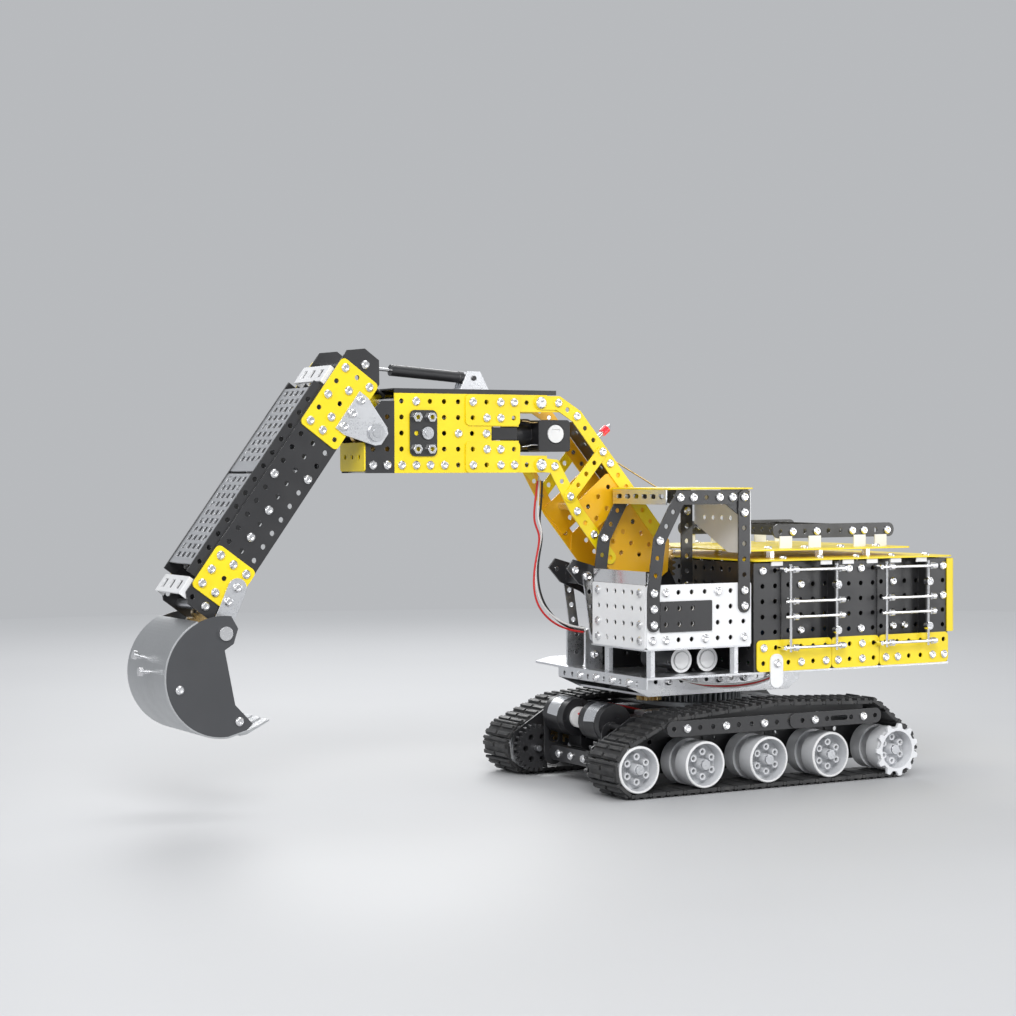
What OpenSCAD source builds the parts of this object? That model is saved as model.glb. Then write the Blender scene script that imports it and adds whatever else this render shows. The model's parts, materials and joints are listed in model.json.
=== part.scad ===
// RC excavator built from perforated metal construction-kit parts.
// +X forward (towards the bucket), +Y left (cab side), +Z up.
// The origin is on the ground under the slewing axis. Millimetres.

/* [Kit parts] */
// Distance between neighbouring holes
pitch = 10; // [10:10]
// Radius of the plate holes
hole_r = 1.6; // [1.5:0.05:1.7]
// Thickness of plates and strips
sheet = 1; // [0.8:0.1:1]
// Radius of a screw head
head_r = 2.75; // [2.4:0.05:2.9]

/* [Undercarriage] */
// Radius of the road wheels
wheel_r = 15; // [14:0.25:15]
// Height of the wheel axles
wheel_z = 19; // [19:19]
// Distance between road wheels
wheel_step = 50; // [46:1:50]
// Place of the front driven wheel
front_x = 100; // [98:0.5:102]
// Place of the rear sprocket
rear_x = -104; // [-106:0.5:-103]
// Number of links in one track
link_count = 40; // [38:1:40]
// Teeth on the rear sprocket ring
sprocket_teeth = 11; // [9:1:12]

/* [Turntable] */
// Teeth on the fixed slewing ring
ring_teeth = 48; // [48:48]
// Teeth on the slewing pinion
slew_pinion_teeth = 12; // [12:12]
// Gear module
gear_m = 1.25; // [1.25:1.25]

/* [Upper body] */
// Outer face of the cab and engine side plates
side_y = 88; // [88:88]
// Height of the deck's underside
deck_z = 75; // [75:75]
// Rear end of the engine housing
engine_back = -148; // [-150:1:-146]
// Height of the cab roof
roof_z = 195; // [192:0.5:198]

/* [Arm] */
// Half the width over the boom's side plates
boom_half = 17.5; // [17:0.5:17.5]
// Place of the boom's base pivot along X
base_x = 44; // [44:44]
// Height of the boom's base pivot
base_z = 143; // [143:143]
// Place of the stick pivot along X
elbow_x = 252; // [252:252]
// Height of the stick pivot
elbow_z = 231; // [231:231]
// Angle of the stick below the horizontal
stick_fall = 54; // [54:54]
// Distance from the stick pivot to the bucket pivot
stick_len = 159; // [159:159]
// Half the width of the bucket
bucket_half = 32; // [28:0.5:34]

/* [Hidden] */
$fn = 32;
// Gap that keeps lapped plates of one node apart
lap = 0.02;
// Radial clearance of a turning shaft in its hole
run = 0.05;
// Shank radius and head height of every screw
shank_r = 1.45;
head_h = 1.8;
socket_r = 1.5;

// ---------------------------------------------------------------- helpers

// Points on an arc about c from angle a0 to a1
function arc(c, r, a0, a1, n = 6) =
    [for (i = [0 : n]) c + r * [cos(a0 + (a1 - a0) * i / n), sin(a0 + (a1 - a0) * i / n)]];

// Outline of a rectangle with rounded corners
function round_box(x0, y0, x1, y1, r) = concat(
    arc([x1 - r, y0 + r], r, -90, 0),
    arc([x1 - r, y1 - r], r, 0, 90),
    arc([x0 + r, y1 - r], r, 90, 180),
    arc([x0 + r, y0 + r], r, 180, 270));

// Direction, in degrees, from point a to point b
function heading(a, b) = atan2(b[1] - a[1], b[0] - a[0]);

// Mitre point at vertex i of path p, offset by d to the left
function mitre(p, i, d) =
    let (h0 = heading(p[i - 1], p[i]), h1 = heading(p[i], p[i + 1]))
    let (half = ((h1 - h0 + 540) % 360 - 180) / 2, mid = h0 + half)
    p[i] + d / cos(half) * [-sin(mid), cos(mid)];

// Outline of a bent strip of width w along path p, with round ends
function strip(p, w) =
    let (n = len(p) - 1, a = heading(p[0], p[1]), b = heading(p[n - 1], p[n]))
    concat(
        arc(p[0], w / 2, a + 90, a + 270, 8),
        [for (i = [1 : 1 : n - 1]) mitre(p, i, -w / 2)],
        arc(p[n], w / 2, b - 90, b + 90, 8),
        [for (i = [n - 1 : -1 : 1]) mitre(p, i, w / 2)]);

// Point at distance r and angle a
function polar(r, a) = [r * cos(a), r * sin(a)];

// A plate drawn in X and Z, filling y0 to y0 + t
module side(y0, t = sheet) translate([0, y0 + t, 0]) rotate([90, 0, 0]) linear_extrude(t) children();

// The same plate on both sides, its inner face at |y| = y0
module both_sides(y0, t = sheet) {
    side(y0, t) children();
    side(-y0 - t, t) children();
}

// A plate drawn in Y and Z, filling x0 to x0 + t
module across(x0, t = sheet) translate([x0, 0, 0]) rotate([90, 0, 90]) linear_extrude(t) children();

// A plate drawn in X and Y, filling z0 to z0 + t
module flat(z0, t = sheet) translate([0, 0, z0]) linear_extrude(t) children();

// Rectangular grid of plate holes
module holes(x0, y0, nx, ny, r = hole_r) {
    for (i = [0 : nx - 1])
        for (j = [0 : ny - 1])
            translate([x0 + i * pitch, y0 + j * pitch]) circle(r);
}

// Rounded plate with a grid of holes
module plate(x0, y0, x1, y1, hx, hy, nx, ny, r = 2) {
    difference() {
        polygon(round_box(x0, y0, x1, y1, r));
        holes(hx, hy, nx, ny);
    }
}

// Hole k of leg i of a bent strip's path
function strip_hole(p, i, k) =
    let (leg = p[i + 1] - p[i]) p[i] + leg * k / max(1, round(norm(leg) / pitch));

// Bent strip with holes spaced evenly along each leg
module bent_strip(p, w = 8) {
    difference() {
        polygon(strip(p, w));
        for (i = [0 : len(p) - 2]) {
            leg = p[i + 1] - p[i];
            n = max(1, round(norm(leg) / pitch));
            for (k = [0 : n - 1]) translate(p[i] + leg * k / n) circle(hole_r);
        }
        translate(p[len(p) - 1]) circle(hole_r);
    }
}

// Pan-head screw with a hex socket: head above z = 0, shank below
module screw(grip = 3.5, r = head_r) {
    difference() {
        rotate_extrude() polygon([[0, -grip], [shank_r, -grip], [shank_r, 0], [r, 0], [r, head_h / 2],
            [r - 0.8, head_h], [0, head_h]]);
        translate([0, 0, 0.4]) cylinder(h = head_h, r = socket_r, $fn = 6);
    }
}

// Screws with heads facing +Y (s = 1) or -Y (s = -1)
module screw_y(x, y, z, s = 1, grip = 3.5) translate([x, y, z]) rotate([-90 * s, 0, 0]) screw(grip);

// Screws with heads facing +X or -X
module screw_x(x, y, z, s = 1, grip = 3.5) translate([x, y, z]) rotate([0, 90 * s, 0]) screw(grip);

// Screws with heads facing +Z
module screw_z(x, y, z, grip = 3.5) translate([x, y, z]) screw(grip);

// The same screws on both sides, heads outwards on |y| = y
module screws_both(points, y, grip = 3.5) {
    for (p = points) {
        screw_y(p[0], y, p[1], 1, grip);
        screw_y(p[0], -y, p[1], -1, grip);
    }
}

// Round bar along Y from y0 to y1
module bar_y(x, z, y0, y1, r) translate([x, y0, z]) rotate([-90, 0, 0]) cylinder(h = y1 - y0, r = r);

// Round bar along X from x0 to x1
module bar_x(y, z, x0, x1, r) translate([x0, y, z]) rotate([0, 90, 0]) cylinder(h = x1 - x0, r = r);

// Involute point for base radius rb and roll angle t in degrees
function involute(rb, t) = rb * [cos(t) + t * PI / 180 * sin(t), sin(t) - t * PI / 180 * cos(t)];
function turned(p, a) = [p[0] * cos(a) - p[1] * sin(a), p[0] * sin(a) + p[1] * cos(a)];

// Spur gear outline: n teeth of module m, 20 degree pressure angle, with backlash
function gear_outline(n, m) =
    let (rp = n * m / 2, rb = rp * cos(20), ra = rp + 0.9 * m, rf = rp - 1.15 * m)
    let (roll_p = tan(20) * 180 / PI, roll_a = sqrt(pow(ra / rb, 2) - 1) * 180 / PI)
    let (half = 90 / n - 2.2 / n + roll_p - 20)
    let (flank = [for (i = [0 : 4]) turned(involute(rb, roll_a * i / 4), -half)])
    [for (k = [0 : n - 1]) each concat(
        [turned([rf, 0], k * 360 / n - half - 20 / n)],
        [for (p = flank) turned(p, k * 360 / n)],
        [for (i = [4 : -1 : 0]) turned([flank[i][0], -flank[i][1]], k * 360 / n)],
        [turned([rf, 0], k * 360 / n + half + 20 / n)])];

// ------------------------------------------------------------ undercarriage

track_in = 53;
track_out = 85.5;
link_mid_r = wheel_r + 1.6;
rail_z = 43.3;
rail_in = 50;
gear_in = 43.5;
gear_w = 4;
drive_teeth = 24;
drive_pinion_teeth = 12;
drive_gap = (drive_teeth + drive_pinion_teeth) * gear_m / 2;
pinion_dir = 150;
pinion_x = front_x + drive_gap * cos(pinion_dir);
pinion_z = wheel_z + drive_gap * sin(pinion_dir);
axle_r = 2;

// Circles that the track's pin line bends round: x, z, radius
guides = [
    [rear_x, wheel_z, link_mid_r],
    [front_x, wheel_z, link_mid_r],
    [70, 39.5, 10],
    [-8, 45, 10],
    [-85, 42, 10]
];
guide_count = len(guides);

// Outward normal of the straight run from circle a to circle b
function run_normal(a, b) =
    atan2(b[1] - a[1], b[0] - a[0]) - acos((a[2] - b[2]) / norm([b[0] - a[0], b[1] - a[1]]));
normals = [for (i = [0 : guide_count - 1]) run_normal(guides[i], guides[(i + 1) % guide_count])];
runs = [for (i = [0 : guide_count - 1])
    let (a = guides[i], b = guides[(i + 1) % guide_count])
    sqrt(pow(b[0] - a[0], 2) + pow(b[1] - a[1], 2) - pow(a[2] - b[2], 2))];
bends = [for (i = [0 : guide_count - 1])
    let (turn = (normals[i] - normals[(i + guide_count - 1) % guide_count] + 720) % 360)
    guides[i][2] * turn * PI / 180];
function total(v, i = 0) = i < len(v) ? v[i] + total(v, i + 1) : 0;
link_pitch = (total(runs) + total(bends)) / link_count;

// Place and normal angle at distance s along the track
function track_at(s, i = 0) =
    let (j = (i + 1) % guide_count, a = guides[i], b = guides[j], n = normals[i])
    s < runs[i] ? [[a[0], a[1]] + polar(a[2], n) + polar(s, n + 90), n] :
    s < runs[i] + bends[j] ?
        let (t = n + (s - runs[i]) / b[2] * 180 / PI) [[b[0], b[1]] + polar(b[2], t), t] :
    track_at(s - runs[i] - bends[j], j);

// Sections of one link: its plate with a pin barrel, and one pair of grouser ribs
module link_plate() {
    translate([-4.9, -0.9]) square([9.8, 2.2]);
    translate([4, -0.5]) square([link_pitch / 2 - 4, 1]);
    translate([link_pitch / 2, 0]) circle(1.25, $fn = 20);
}
module link_ribs() {
    for (x = [-3, 3]) polygon([[x - 1.6, -0.8], [x - 1.2, -2.4], [x + 1.2, -2.4], [x + 1.6, -0.8]]);
}
module track_link(s) {
    at = track_at(s);
    middle = (track_in + track_out) / 2;
    translate([at[0][0], 0, at[0][1]]) rotate([0, -at[1] - 90, 0]) {
        side(track_in, track_out - track_in) link_plate();
        side(track_in + 1, middle - track_in - 2.5) link_ribs();
        side(middle + 1.5, track_out - middle - 2.5) link_ribs();
    }
}
module track_loop() {
    color([0.13, 0.13, 0.14])
        for (i = [0 : link_count - 1]) track_link((i + 0.5) * link_pitch);
}
module left_track() track_loop();
module right_track() mirror([0, 1, 0]) track_loop();

// Double dish wheel about its own axle, from y = 56 to y = 85.8
module dish_wheel(bore) {
    rotate([-90, 0, 0]) {
        rotate_extrude() polygon([
            [bore, 56], [4, 56], [4, 60], [wheel_r - 1.6, 60], [wheel_r - 1.6, 56],
            [wheel_r, 56], [wheel_r, 66], [wheel_r - 1.6, 66], [wheel_r - 1.6, 61.5],
            [4, 61.5], [4, 74.5], [wheel_r - 1.6, 74.5], [wheel_r - 1.6, 72.5],
            [wheel_r - 0.6, 72.5], [wheel_r, 73.1], [wheel_r, 85.2], [wheel_r - 0.5, 85.8],
            [wheel_r - 1.5, 85.8], [wheel_r - 2.1, 76.6], [3.7, 76], [3.4, 84.8], [bore, 84.8]]);
        for (a = [30 : 60 : 330])
            rotate(a) translate([8, 0, 75.5]) difference() {
                cylinder(h = 6.8, r = 2.3);
                translate([0, 0, 1]) cylinder(h = 6.8, r = 1.2);
            }
    }
}
module road_wheel(i) {
    color([0.72, 0.73, 0.75])
        translate([front_x - i * wheel_step, 0, wheel_z]) dish_wheel(axle_r + run);
}
module sprocket_wheel() {
    color([0.85, 0.86, 0.88]) translate([rear_x, 0, wheel_z]) {
        dish_wheel(axle_r + run);
        side(85.8, 2.2) difference() {
            polygon([for (k = [0 : sprocket_teeth - 1])
                for (q = [[14.6, -10], [17.7, -4], [17.7, 4], [14.6, 10]])
                    polar(q[0], k * 360 / sprocket_teeth + q[1])]);
            circle(wheel_r - 2.4);
        }
    }
}
module drive_wheel() {
    color([0.72, 0.73, 0.75]) translate([front_x, 0, wheel_z]) {
        dish_wheel(axle_r);
        bar_y(0, 0, gear_in - 4, 86.2, axle_r);
        bar_y(0, 0, 84.8, 86.6, 3);
    }
}
module drive_gear() {
    color([0.12, 0.12, 0.13]) translate([front_x, 0, wheel_z]) side(gear_in, gear_w) difference() {
        rotate(pinion_dir) polygon(gear_outline(drive_teeth, gear_m));
        circle(axle_r);
        for (a = [0 : 60 : 300]) translate(polar(8.5, a)) circle(2);
    }
}
module drive_pinion() {
    color([0.75, 0.62, 0.3]) translate([pinion_x, 0, pinion_z]) {
        side(gear_in, gear_w)
            rotate(pinion_dir + 180 / drive_pinion_teeth) polygon(gear_outline(drive_pinion_teeth, gear_m));
        bar_y(0, 0, 20, gear_in, 1.5);
    }
}
module left_wheel_1() road_wheel(1);
module left_wheel_2() road_wheel(2);
module left_wheel_3() road_wheel(3);
module right_wheel_1() mirror([0, 1, 0]) road_wheel(1);
module right_wheel_2() mirror([0, 1, 0]) road_wheel(2);
module right_wheel_3() mirror([0, 1, 0]) road_wheel(3);
module left_sprocket() sprocket_wheel();
module right_sprocket() mirror([0, 1, 0]) sprocket_wheel();
module driven_wheel() {
    drive_wheel();
    drive_gear();
}
module left_drive_wheel() driven_wheel();
module right_drive_wheel() mirror([0, 1, 0]) driven_wheel();
module left_drive_pinion() drive_pinion();
module right_drive_pinion() mirror([0, 1, 0]) drive_pinion();

// Steel axles of the free wheels, fixed in the rail plates
module axles() {
    color([0.8, 0.8, 0.82]) for (s = [0, 1]) mirror([0, s, 0])
        for (x = [rear_x, front_x - wheel_step, front_x - 2 * wheel_step, front_x - 3 * wheel_step]) {
            bar_y(x, wheel_z, 48, 86.4, axle_r);
            bar_y(x, wheel_z, 85, 86.4, 3.2);
            bar_y(x, wheel_z, 51.2, 55.8, 3.5);
            bar_y(x, wheel_z, 47, 49.8, 3.2);
        }
}

// Inner side plate of each track frame
module rail_plates() {
    outline = [[-114, 14], [-106, 10], [104, 10], [114, 14], [114, 30], [84, 48], [-96, 48], [-114, 30]];
    color([0.16, 0.16, 0.17]) both_sides(rail_in) difference() {
        polygon(outline);
        for (x = [rear_x, front_x - wheel_step, front_x - 2 * wheel_step, front_x - 3 * wheel_step])
            translate([x, wheel_z]) circle(axle_r);
        translate([front_x, wheel_z]) circle(axle_r + run);
        holes(-85, rail_z, 17, 1);
        for (x = [-80, -70, -30, -20, 20, 30, 70, 80]) translate([x, wheel_z + 12]) circle(hole_r);
        for (x = [-80, -70, -30, -20, 20, 30, 70, 80]) translate([x, wheel_z]) circle(hole_r);
    }
}

// Long outer strip and the shorter one standing proud of it
module rail_strips() {
    color([0.17, 0.17, 0.18]) {
        both_sides(86) difference() {
            polygon(round_box(-40, rail_z - 5, 80, rail_z + 5, 4.5));
            holes(-35, rail_z, 12, 1);
        }
        both_sides(87 + lap) difference() {
            polygon(round_box(-90, rail_z - 5, -15, rail_z + 5, 4.5));
            holes(-85, rail_z, 7, 1);
            polygon(round_box(-62, rail_z - 1.6, -48, rail_z + 1.6, 1.5));
        }
    }
}

// Spacer tubes that hold the outer strips
spacer_x = [65, 35, 5, -35, -75];
module rail_spacers() {
    color([0.7, 0.7, 0.72]) for (s = [0, 1]) mirror([0, s, 0]) for (x = spacer_x) difference() {
        bar_y(x, rail_z, 51, x < -60 ? 87 : 86, 2.8);
        bar_y(x, rail_z, 50, 88, hole_r);
    }
}

// Skids under the top run
module track_skids() {
    color([0.13, 0.13, 0.14]) both_sides(62, 14)
        polygon([[-84, 47], [-84, 50.4], [-8, 53.2], [70, 47.9], [70, 46.8]]);
}

// Perforated cross members and top plate between the tracks
frame_front = 34;
frame_rear = -74;
flange_x = [-65, 25];
cable_r = 6;
module chassis_frame() {
    color([0.2, 0.2, 0.21]) {
        flat(48) difference() {
            polygon(round_box(frame_rear, -50, frame_front, 50, 1));
            holes(-60, -40, 9, 9);
            circle(cable_r);
        }
        for (x = [frame_rear + 2, frame_front - 3])
            across(x) difference() {
                translate([-50, 28]) square([100, 20]);
                for (z = [33, 43]) for (y = [-40 : pitch : 40]) translate([y, z]) circle(hole_r);
            }
        both_sides(rail_in - 1) for (x = flange_x) difference() {
            translate([x - 6, 30]) square([12, 18]);
            translate([x, rail_z]) circle(hole_r);
        }
    }
}

// Front cross beam with its two oval end brackets
module front_beam() {
    color([0.15, 0.15, 0.16]) {
        difference() {
            across(88, 6) polygon(round_box(-36, 12, 36, 22, 4.5));
            for (y = [-24, -8, 8, 24]) bar_x(y, 17, 87, 95, hole_r);
        }
        for (s = [0, 1]) mirror([0, s, 0])
            side(36, 1.5) difference() {
                polygon(round_box(84, 8, 98, 44, 7));
                polygon(round_box(87, 23, 95, 39, 3.5));
                translate([91, 15]) circle(hole_r);
            }
        for (s = [0, 1]) mirror([0, s, 0]) bar_y(90.5, 41.2, 37.5, rail_in, 2);
    }
}

// Two drive motors between the tracks: gearbox, barrel with a label band, slotted disc, bracket
motor_at = [87, 42.5];
motor_r = 12.5;
module drive_motors() {
    color([0.08, 0.08, 0.09]) for (s = [0, 1]) mirror([0, s, 0]) {
        difference() {
            union() {
                side(12, 16) polygon(round_box(46, 21, 84, 45, 3));
                bar_y(motor_at[0], motor_at[1], 10, 35.9, motor_r);
                bar_y(motor_at[0], motor_at[1], 17, 30, motor_r + 0.3);
                bar_y(motor_at[0], motor_at[1], 7.5, 10, 7);
                bar_y(63, 33, 28, 35.9, 10);
            }
            bar_y(pinion_x, pinion_z, 11, 37, 2.4);
        }
        difference() {
            bar_y(57, 36, 9, 12, 6);
            translate([52.5, 8, 35.2]) cube([9, 2, 1.6]);
        }
        flat(45, 3) translate([frame_front - 1.9, 14]) square([26, 12]);
    }
}

slew_r = ring_teeth * gear_m / 2;
ring_z = 52;
ring_w = 6;
spindle_r = 11;

// Fixed slewing ring with its hollow spindle
module slew_ring() {
    color([0.35, 0.36, 0.38]) difference() {
        union() {
            translate([0, 0, 49]) cylinder(h = ring_z - 49, r = 36);
            flat(ring_z, ring_w) polygon(gear_outline(ring_teeth, gear_m));
            translate([0, 0, ring_z + ring_w]) cylinder(h = 1.2, r = 17);
            translate([0, 0, 50]) cylinder(h = 24, r = spindle_r);
        }
        translate([0, 0, 40]) cylinder(h = 40, r = cable_r);
    }
}

// ------------------------------------------------------------ slewing drive

slew_pinion_x = (ring_teeth + slew_pinion_teeth) * gear_m / 2;
frame_z = 59.4;

module spindle_nut() {
    color([0.75, 0.75, 0.77]) translate([0, 0, frame_z + 1.7]) difference() {
        cylinder(h = 6, r = 16, $fn = 6);
        translate([0, 0, -1]) cylinder(h = 8, r = spindle_r + lap);
    }
}

module slew_pinion() {
    color([0.75, 0.62, 0.3]) translate([slew_pinion_x, 0, 0]) {
        flat(ring_z + 0.5, ring_w - 1)
            rotate(180 / slew_pinion_teeth) polygon(gear_outline(slew_pinion_teeth, gear_m));
        translate([0, 0, ring_z + 5]) cylinder(h = 7, r = 1.5);
    }
}

module slew_motor() {
    color([0.08, 0.08, 0.09]) difference() {
        flat(61, 13.5) polygon(round_box(20, -11, 62, 11, 2));
        translate([slew_pinion_x, 0, 60]) cylinder(h = 4.5, r = 1.6);
    }
}

// Perforated box between the turntable and the deck
frame_half = 42;
module turntable_frame() {
    wall = [[-56, 75], [-56, 66], [-46, frame_z], [66, frame_z], [83, 67], [83, 75]];
    color([0.5, 0.51, 0.53]) {
        flat(frame_z, 1.5) difference() {
            polygon([[-46, -frame_half], [66, -frame_half], [66, frame_half], [-46, frame_half]]);
            circle(spindle_r + run);
            translate([slew_pinion_x, 0]) circle(1.6);
            holes(-36, -30, 3, 7);
        }
        both_sides(frame_half) difference() {
            polygon(wall);
            holes(-40, 69, 12, 1);
        }
        across(-56) difference() {
            translate([-frame_half, 66]) square([2 * frame_half, 9]);
            holes(-35, 70.5, 8, 1);
        }
        across(82) difference() {
            translate([-frame_half, 67]) square([2 * frame_half, 8]);
            holes(-35, 71, 8, 1);
        }
    }
}

// ------------------------------------------------------------ deck and pedestal

deck_top = deck_z + 1.5;
module deck_plate() {
    color([0.82, 0.83, 0.85]) {
        flat(deck_z, 1.5) difference() {
            polygon([[engine_back, -88], [62, -88], [90, -62], [94, -20], [94, 86], [engine_back, 88]]);
            circle(20);
            for (x = [-140 : 20 : -40]) for (y = [-60 : 20 : 60]) translate([x, y]) circle(hole_r);
        }
        across(93.9) difference() {
            translate([-20, 69]) square([106, 7.5]);
            holes(-15, 72, 10, 1);
        }
    }
}

// Side plates that carry the boom's base pivot, with a forward arm held by a strut
pin_r = 3;
boom_gear_teeth = 36;
lift_pinion_teeth = 12;
lift_gap = (boom_gear_teeth + lift_pinion_teeth) * gear_m / 2;
lift_dir = -35;
lift_x = base_x + lift_gap * cos(lift_dir);
lift_z = base_z + lift_gap * sin(lift_dir);
arm_holes = [[84, 133], [94, 137.5], [103, 142]];
strut_foot = [88, 98];
module pedestal_plates() {
    outline = [[14, deck_top], [14, 112], [35, 152], [53, 152], [66, 138], [104, 149], [109, 143],
        [100, 133], [84, 126], [76, 120], [76, deck_top]];
    color([0.15, 0.15, 0.16]) {
        both_sides(11, 1.5) difference() {
            polygon(outline);
            translate([base_x, base_z]) circle(pin_r + run);
            holes(24, 86, 5, 3);
            for (p = arm_holes) translate(p) circle(hole_r);
        }
        across(95) difference() {
            translate([-11, 132.5]) square([22, 12]);
            holes(-5, 138, 2, 1);
        }
        across(18) difference() {
            translate([-11, deck_top]) square([22, 34]);
            holes(-5, 82, 2, 3);
        }
    }
}
module pedestal_strut() {
    color([0.5, 0.5, 0.52]) {
        both_sides(11, 1.5) difference() {
            polygon(round_box(82, deck_top, 95, 103, 2));
            translate(strut_foot) circle(hole_r);
            translate([88, 86]) circle(hole_r);
        }
        both_sides(12.5 + lap) bent_strip([arm_holes[1], strut_foot], 7);
    }
}

// Motor and gearbox that lift the boom
module lift_motor() {
    color([0.08, 0.08, 0.09]) difference() {
        union() {
            side(-10.8, 9.8) polygon(round_box(50, 98, 77, 133, 2));
            bar_y(66, 107, -1, 10.8, 7.8);
        }
        bar_y(lift_x, lift_z, -6, 0, 1.6);
    }
}
module lift_pinion() {
    color([0.75, 0.62, 0.3]) translate([lift_x, 0, lift_z]) {
        side(2, 5) rotate(lift_dir + 180 + 180 / lift_pinion_teeth)
            polygon(gear_outline(lift_pinion_teeth, gear_m));
        bar_y(0, 0, -4, 2, 1.5);
    }
}

// ------------------------------------------------------------ cab

cab_in = 22;
cab_back = 16;
cab_front = 97;
cab_floor_z = 93.5;
sill_z = 135;
pillar_x = 22;
pillar_top = roof_z - 5;
pillar_w = 9;
door_path = [[pillar_x + pitch, pillar_top], [72, pillar_top], [87.5, 163], [92, 130], [92, 110]];

module cab_floor() {
    color([0.55, 0.56, 0.58]) {
        flat(cab_floor_z) difference() {
            polygon([[cab_back, 23], [cab_front, 23], [cab_front, 87], [cab_back, 87]]);
            holes(32, 36, 6, 5);
        }
        for (x = [24, 88]) for (y = [30, 80]) difference() {
            translate([x, y, deck_top]) cylinder(h = cab_floor_z - deck_top, r = 3, $fn = 6);
            translate([x, y, deck_top - 1]) cylinder(h = 17, r = hole_r);
        }
    }
}
module cab_side_panel() {
    color([0.93, 0.93, 0.94]) side(side_y - 1)
        plate(cab_back, cab_floor_z + 1, cab_front - 1, sill_z, 22, 100, 8, 4, 1.5);
}
module cab_front_panel() {
    color([0.93, 0.93, 0.94])
        across(cab_front - 1) plate(24.5, cab_floor_z + 1, side_y - 1, sill_z, 32, 100, 6, 4, 1.5);
}
module cab_insert() {
    color([0.2, 0.2, 0.21]) side(side_y) plate(47, 105, 86.5, 124.5, 62, 110, 3, 2, 0.8);
}

// Door and window frame, one on each side of the cab
module cab_pillars() {
    color([0.17, 0.17, 0.18]) for (y = [side_y, cab_in]) {
        side(y) bent_strip([[pillar_x, 120], [pillar_x, pillar_top]], pillar_w);
        side(y + sheet + lap) bent_strip(door_path, pillar_w);
        side(y - sheet - lap) difference() {
            polygon([[pillar_x - 4, pillar_top - 17], [pillar_x - 4, roof_z], [pillar_x + 17, roof_z],
                [pillar_x + 17, pillar_top - 2]]);
            for (p = [[0, 0], [0, -pitch], [pitch, 0]]) translate([pillar_x, pillar_top] + p) circle(hole_r);
        }
    }
}
module cab_back_panel() {
    color([0.9, 0.9, 0.91]) across(cab_back - 1) difference() {
        polygon([[23, 172], [62, 153.5], [86.5, 153.5], [86.5, roof_z - 1], [23, roof_z - 1]]);
        holes(35, 176, 5, 2);
    }
}
module cab_roof() {
    color([0.95, 0.75, 0.05]) flat(roof_z) difference() {
        polygon(round_box(cab_back - 1, cab_in - 1, 81, 90, 2));
        holes(28, 36, 5, 5);
    }
}
module cab_roof_lip() {
    color([0.8, 0.81, 0.83]) across(79.9) difference() {
        translate([24, roof_z - 9.5]) square([side_y - 1 - 24, 9.5]);
        for (y = [32 : pitch : 82]) polygon(round_box(y - 3, roof_z - 6, y + 3, roof_z - 3, 1.4));
    }
}
module dashboard() {
    color([0.55, 0.55, 0.57])
        side(24.2, 62.5) translate([85, sill_z + 0.1])
            polygon([[0, 0], [0, 1], [8, 8.4], [10.9, 8.4], [10.9, 0], [9.9, 0], [9.9, 7.4],
                [8.4, 7.4], [1, 0]]);
}
module seat() {
    color([0.1, 0.1, 0.11]) {
        translate([34, 42, 100]) cube([24, 26, 7]);
        translate([30, 42, 103]) cube([6, 26, 30]);
        translate([42, 50, cab_floor_z + 1]) cube([8, 10, 7]);
    }
}
module control_levers() {
    color([0.15, 0.15, 0.15]) for (y = [46, 64]) translate([70, y, cab_floor_z + 1]) {
        cylinder(h = 33, r = 1.5);
        cylinder(h = 3, r = 4);
        translate([0, 0, 33]) sphere(3.2);
    }
}

// Two small motors lying under the cab floor
motor_z = 85;
module deck_motors() {
    for (x = [38, 58]) {
        color([0.07, 0.07, 0.08]) difference() {
            union() {
                bar_y(x, motor_z, 34, 70, 8);
                translate([x - 6, 44, deck_top]) cube([12, 18, 3]);
            }
            bar_y(x, motor_z, 69, 71, 6.2);
        }
        color([0.9, 0.9, 0.9]) bar_y(x, motor_z, 69, 70.6, 5.4);
    }
}

// ------------------------------------------------------------ engine housing

eng_top = 147;
eng_front = 14;
bay_back = 79;
bays = [[-53, -7], [-130, -86]];

module engine_side_plates() {
    color([0.18, 0.18, 0.19]) both_sides(side_y - 1) {
        plate(-7, deck_top, eng_front, eng_top, -3, 82, 2, 7, 1);
        plate(-86, deck_top, -53, eng_top, -83, 82, 3, 7, 1);
        plate(engine_back + 1, deck_top, -130, eng_top, -143, 82, 2, 7, 1);
    }
}
module bay_plates() {
    color([0.14, 0.14, 0.15]) both_sides(bay_back) for (b = bays) difference() {
        translate([b[0] + 0.5, deck_top]) square([b[1] - b[0] - 1, eng_top - deck_top]);
        holes(b[0] + 3.5, 82, floor((b[1] - b[0] - 6) / pitch) + 1, 7);
    }
    color([0.16, 0.16, 0.17]) for (s = [0, 1]) mirror([0, s, 0])
        for (b = bays) for (x = [b[0] + 0.5, b[1] - 1.5]) across(x)
            translate([bay_back + 1, deck_top]) square([side_y - 1 - bay_back, eng_top - deck_top]);
}
skirt_top = 97;
module engine_skirt() {
    color([0.97, 0.8, 0.05]) both_sides(side_y) {
        plate(-48, deck_top, 12, skirt_top, -43, 82, 6, 2, 3);
        plate(-87.5, deck_top, -48.4, skirt_top, -83, 82, 4, 2, 3);
        plate(engine_back + 1, deck_top, -87.9, skirt_top, -143, 82, 6, 2, 3);
    }
}
cover_depth = 7;
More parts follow.
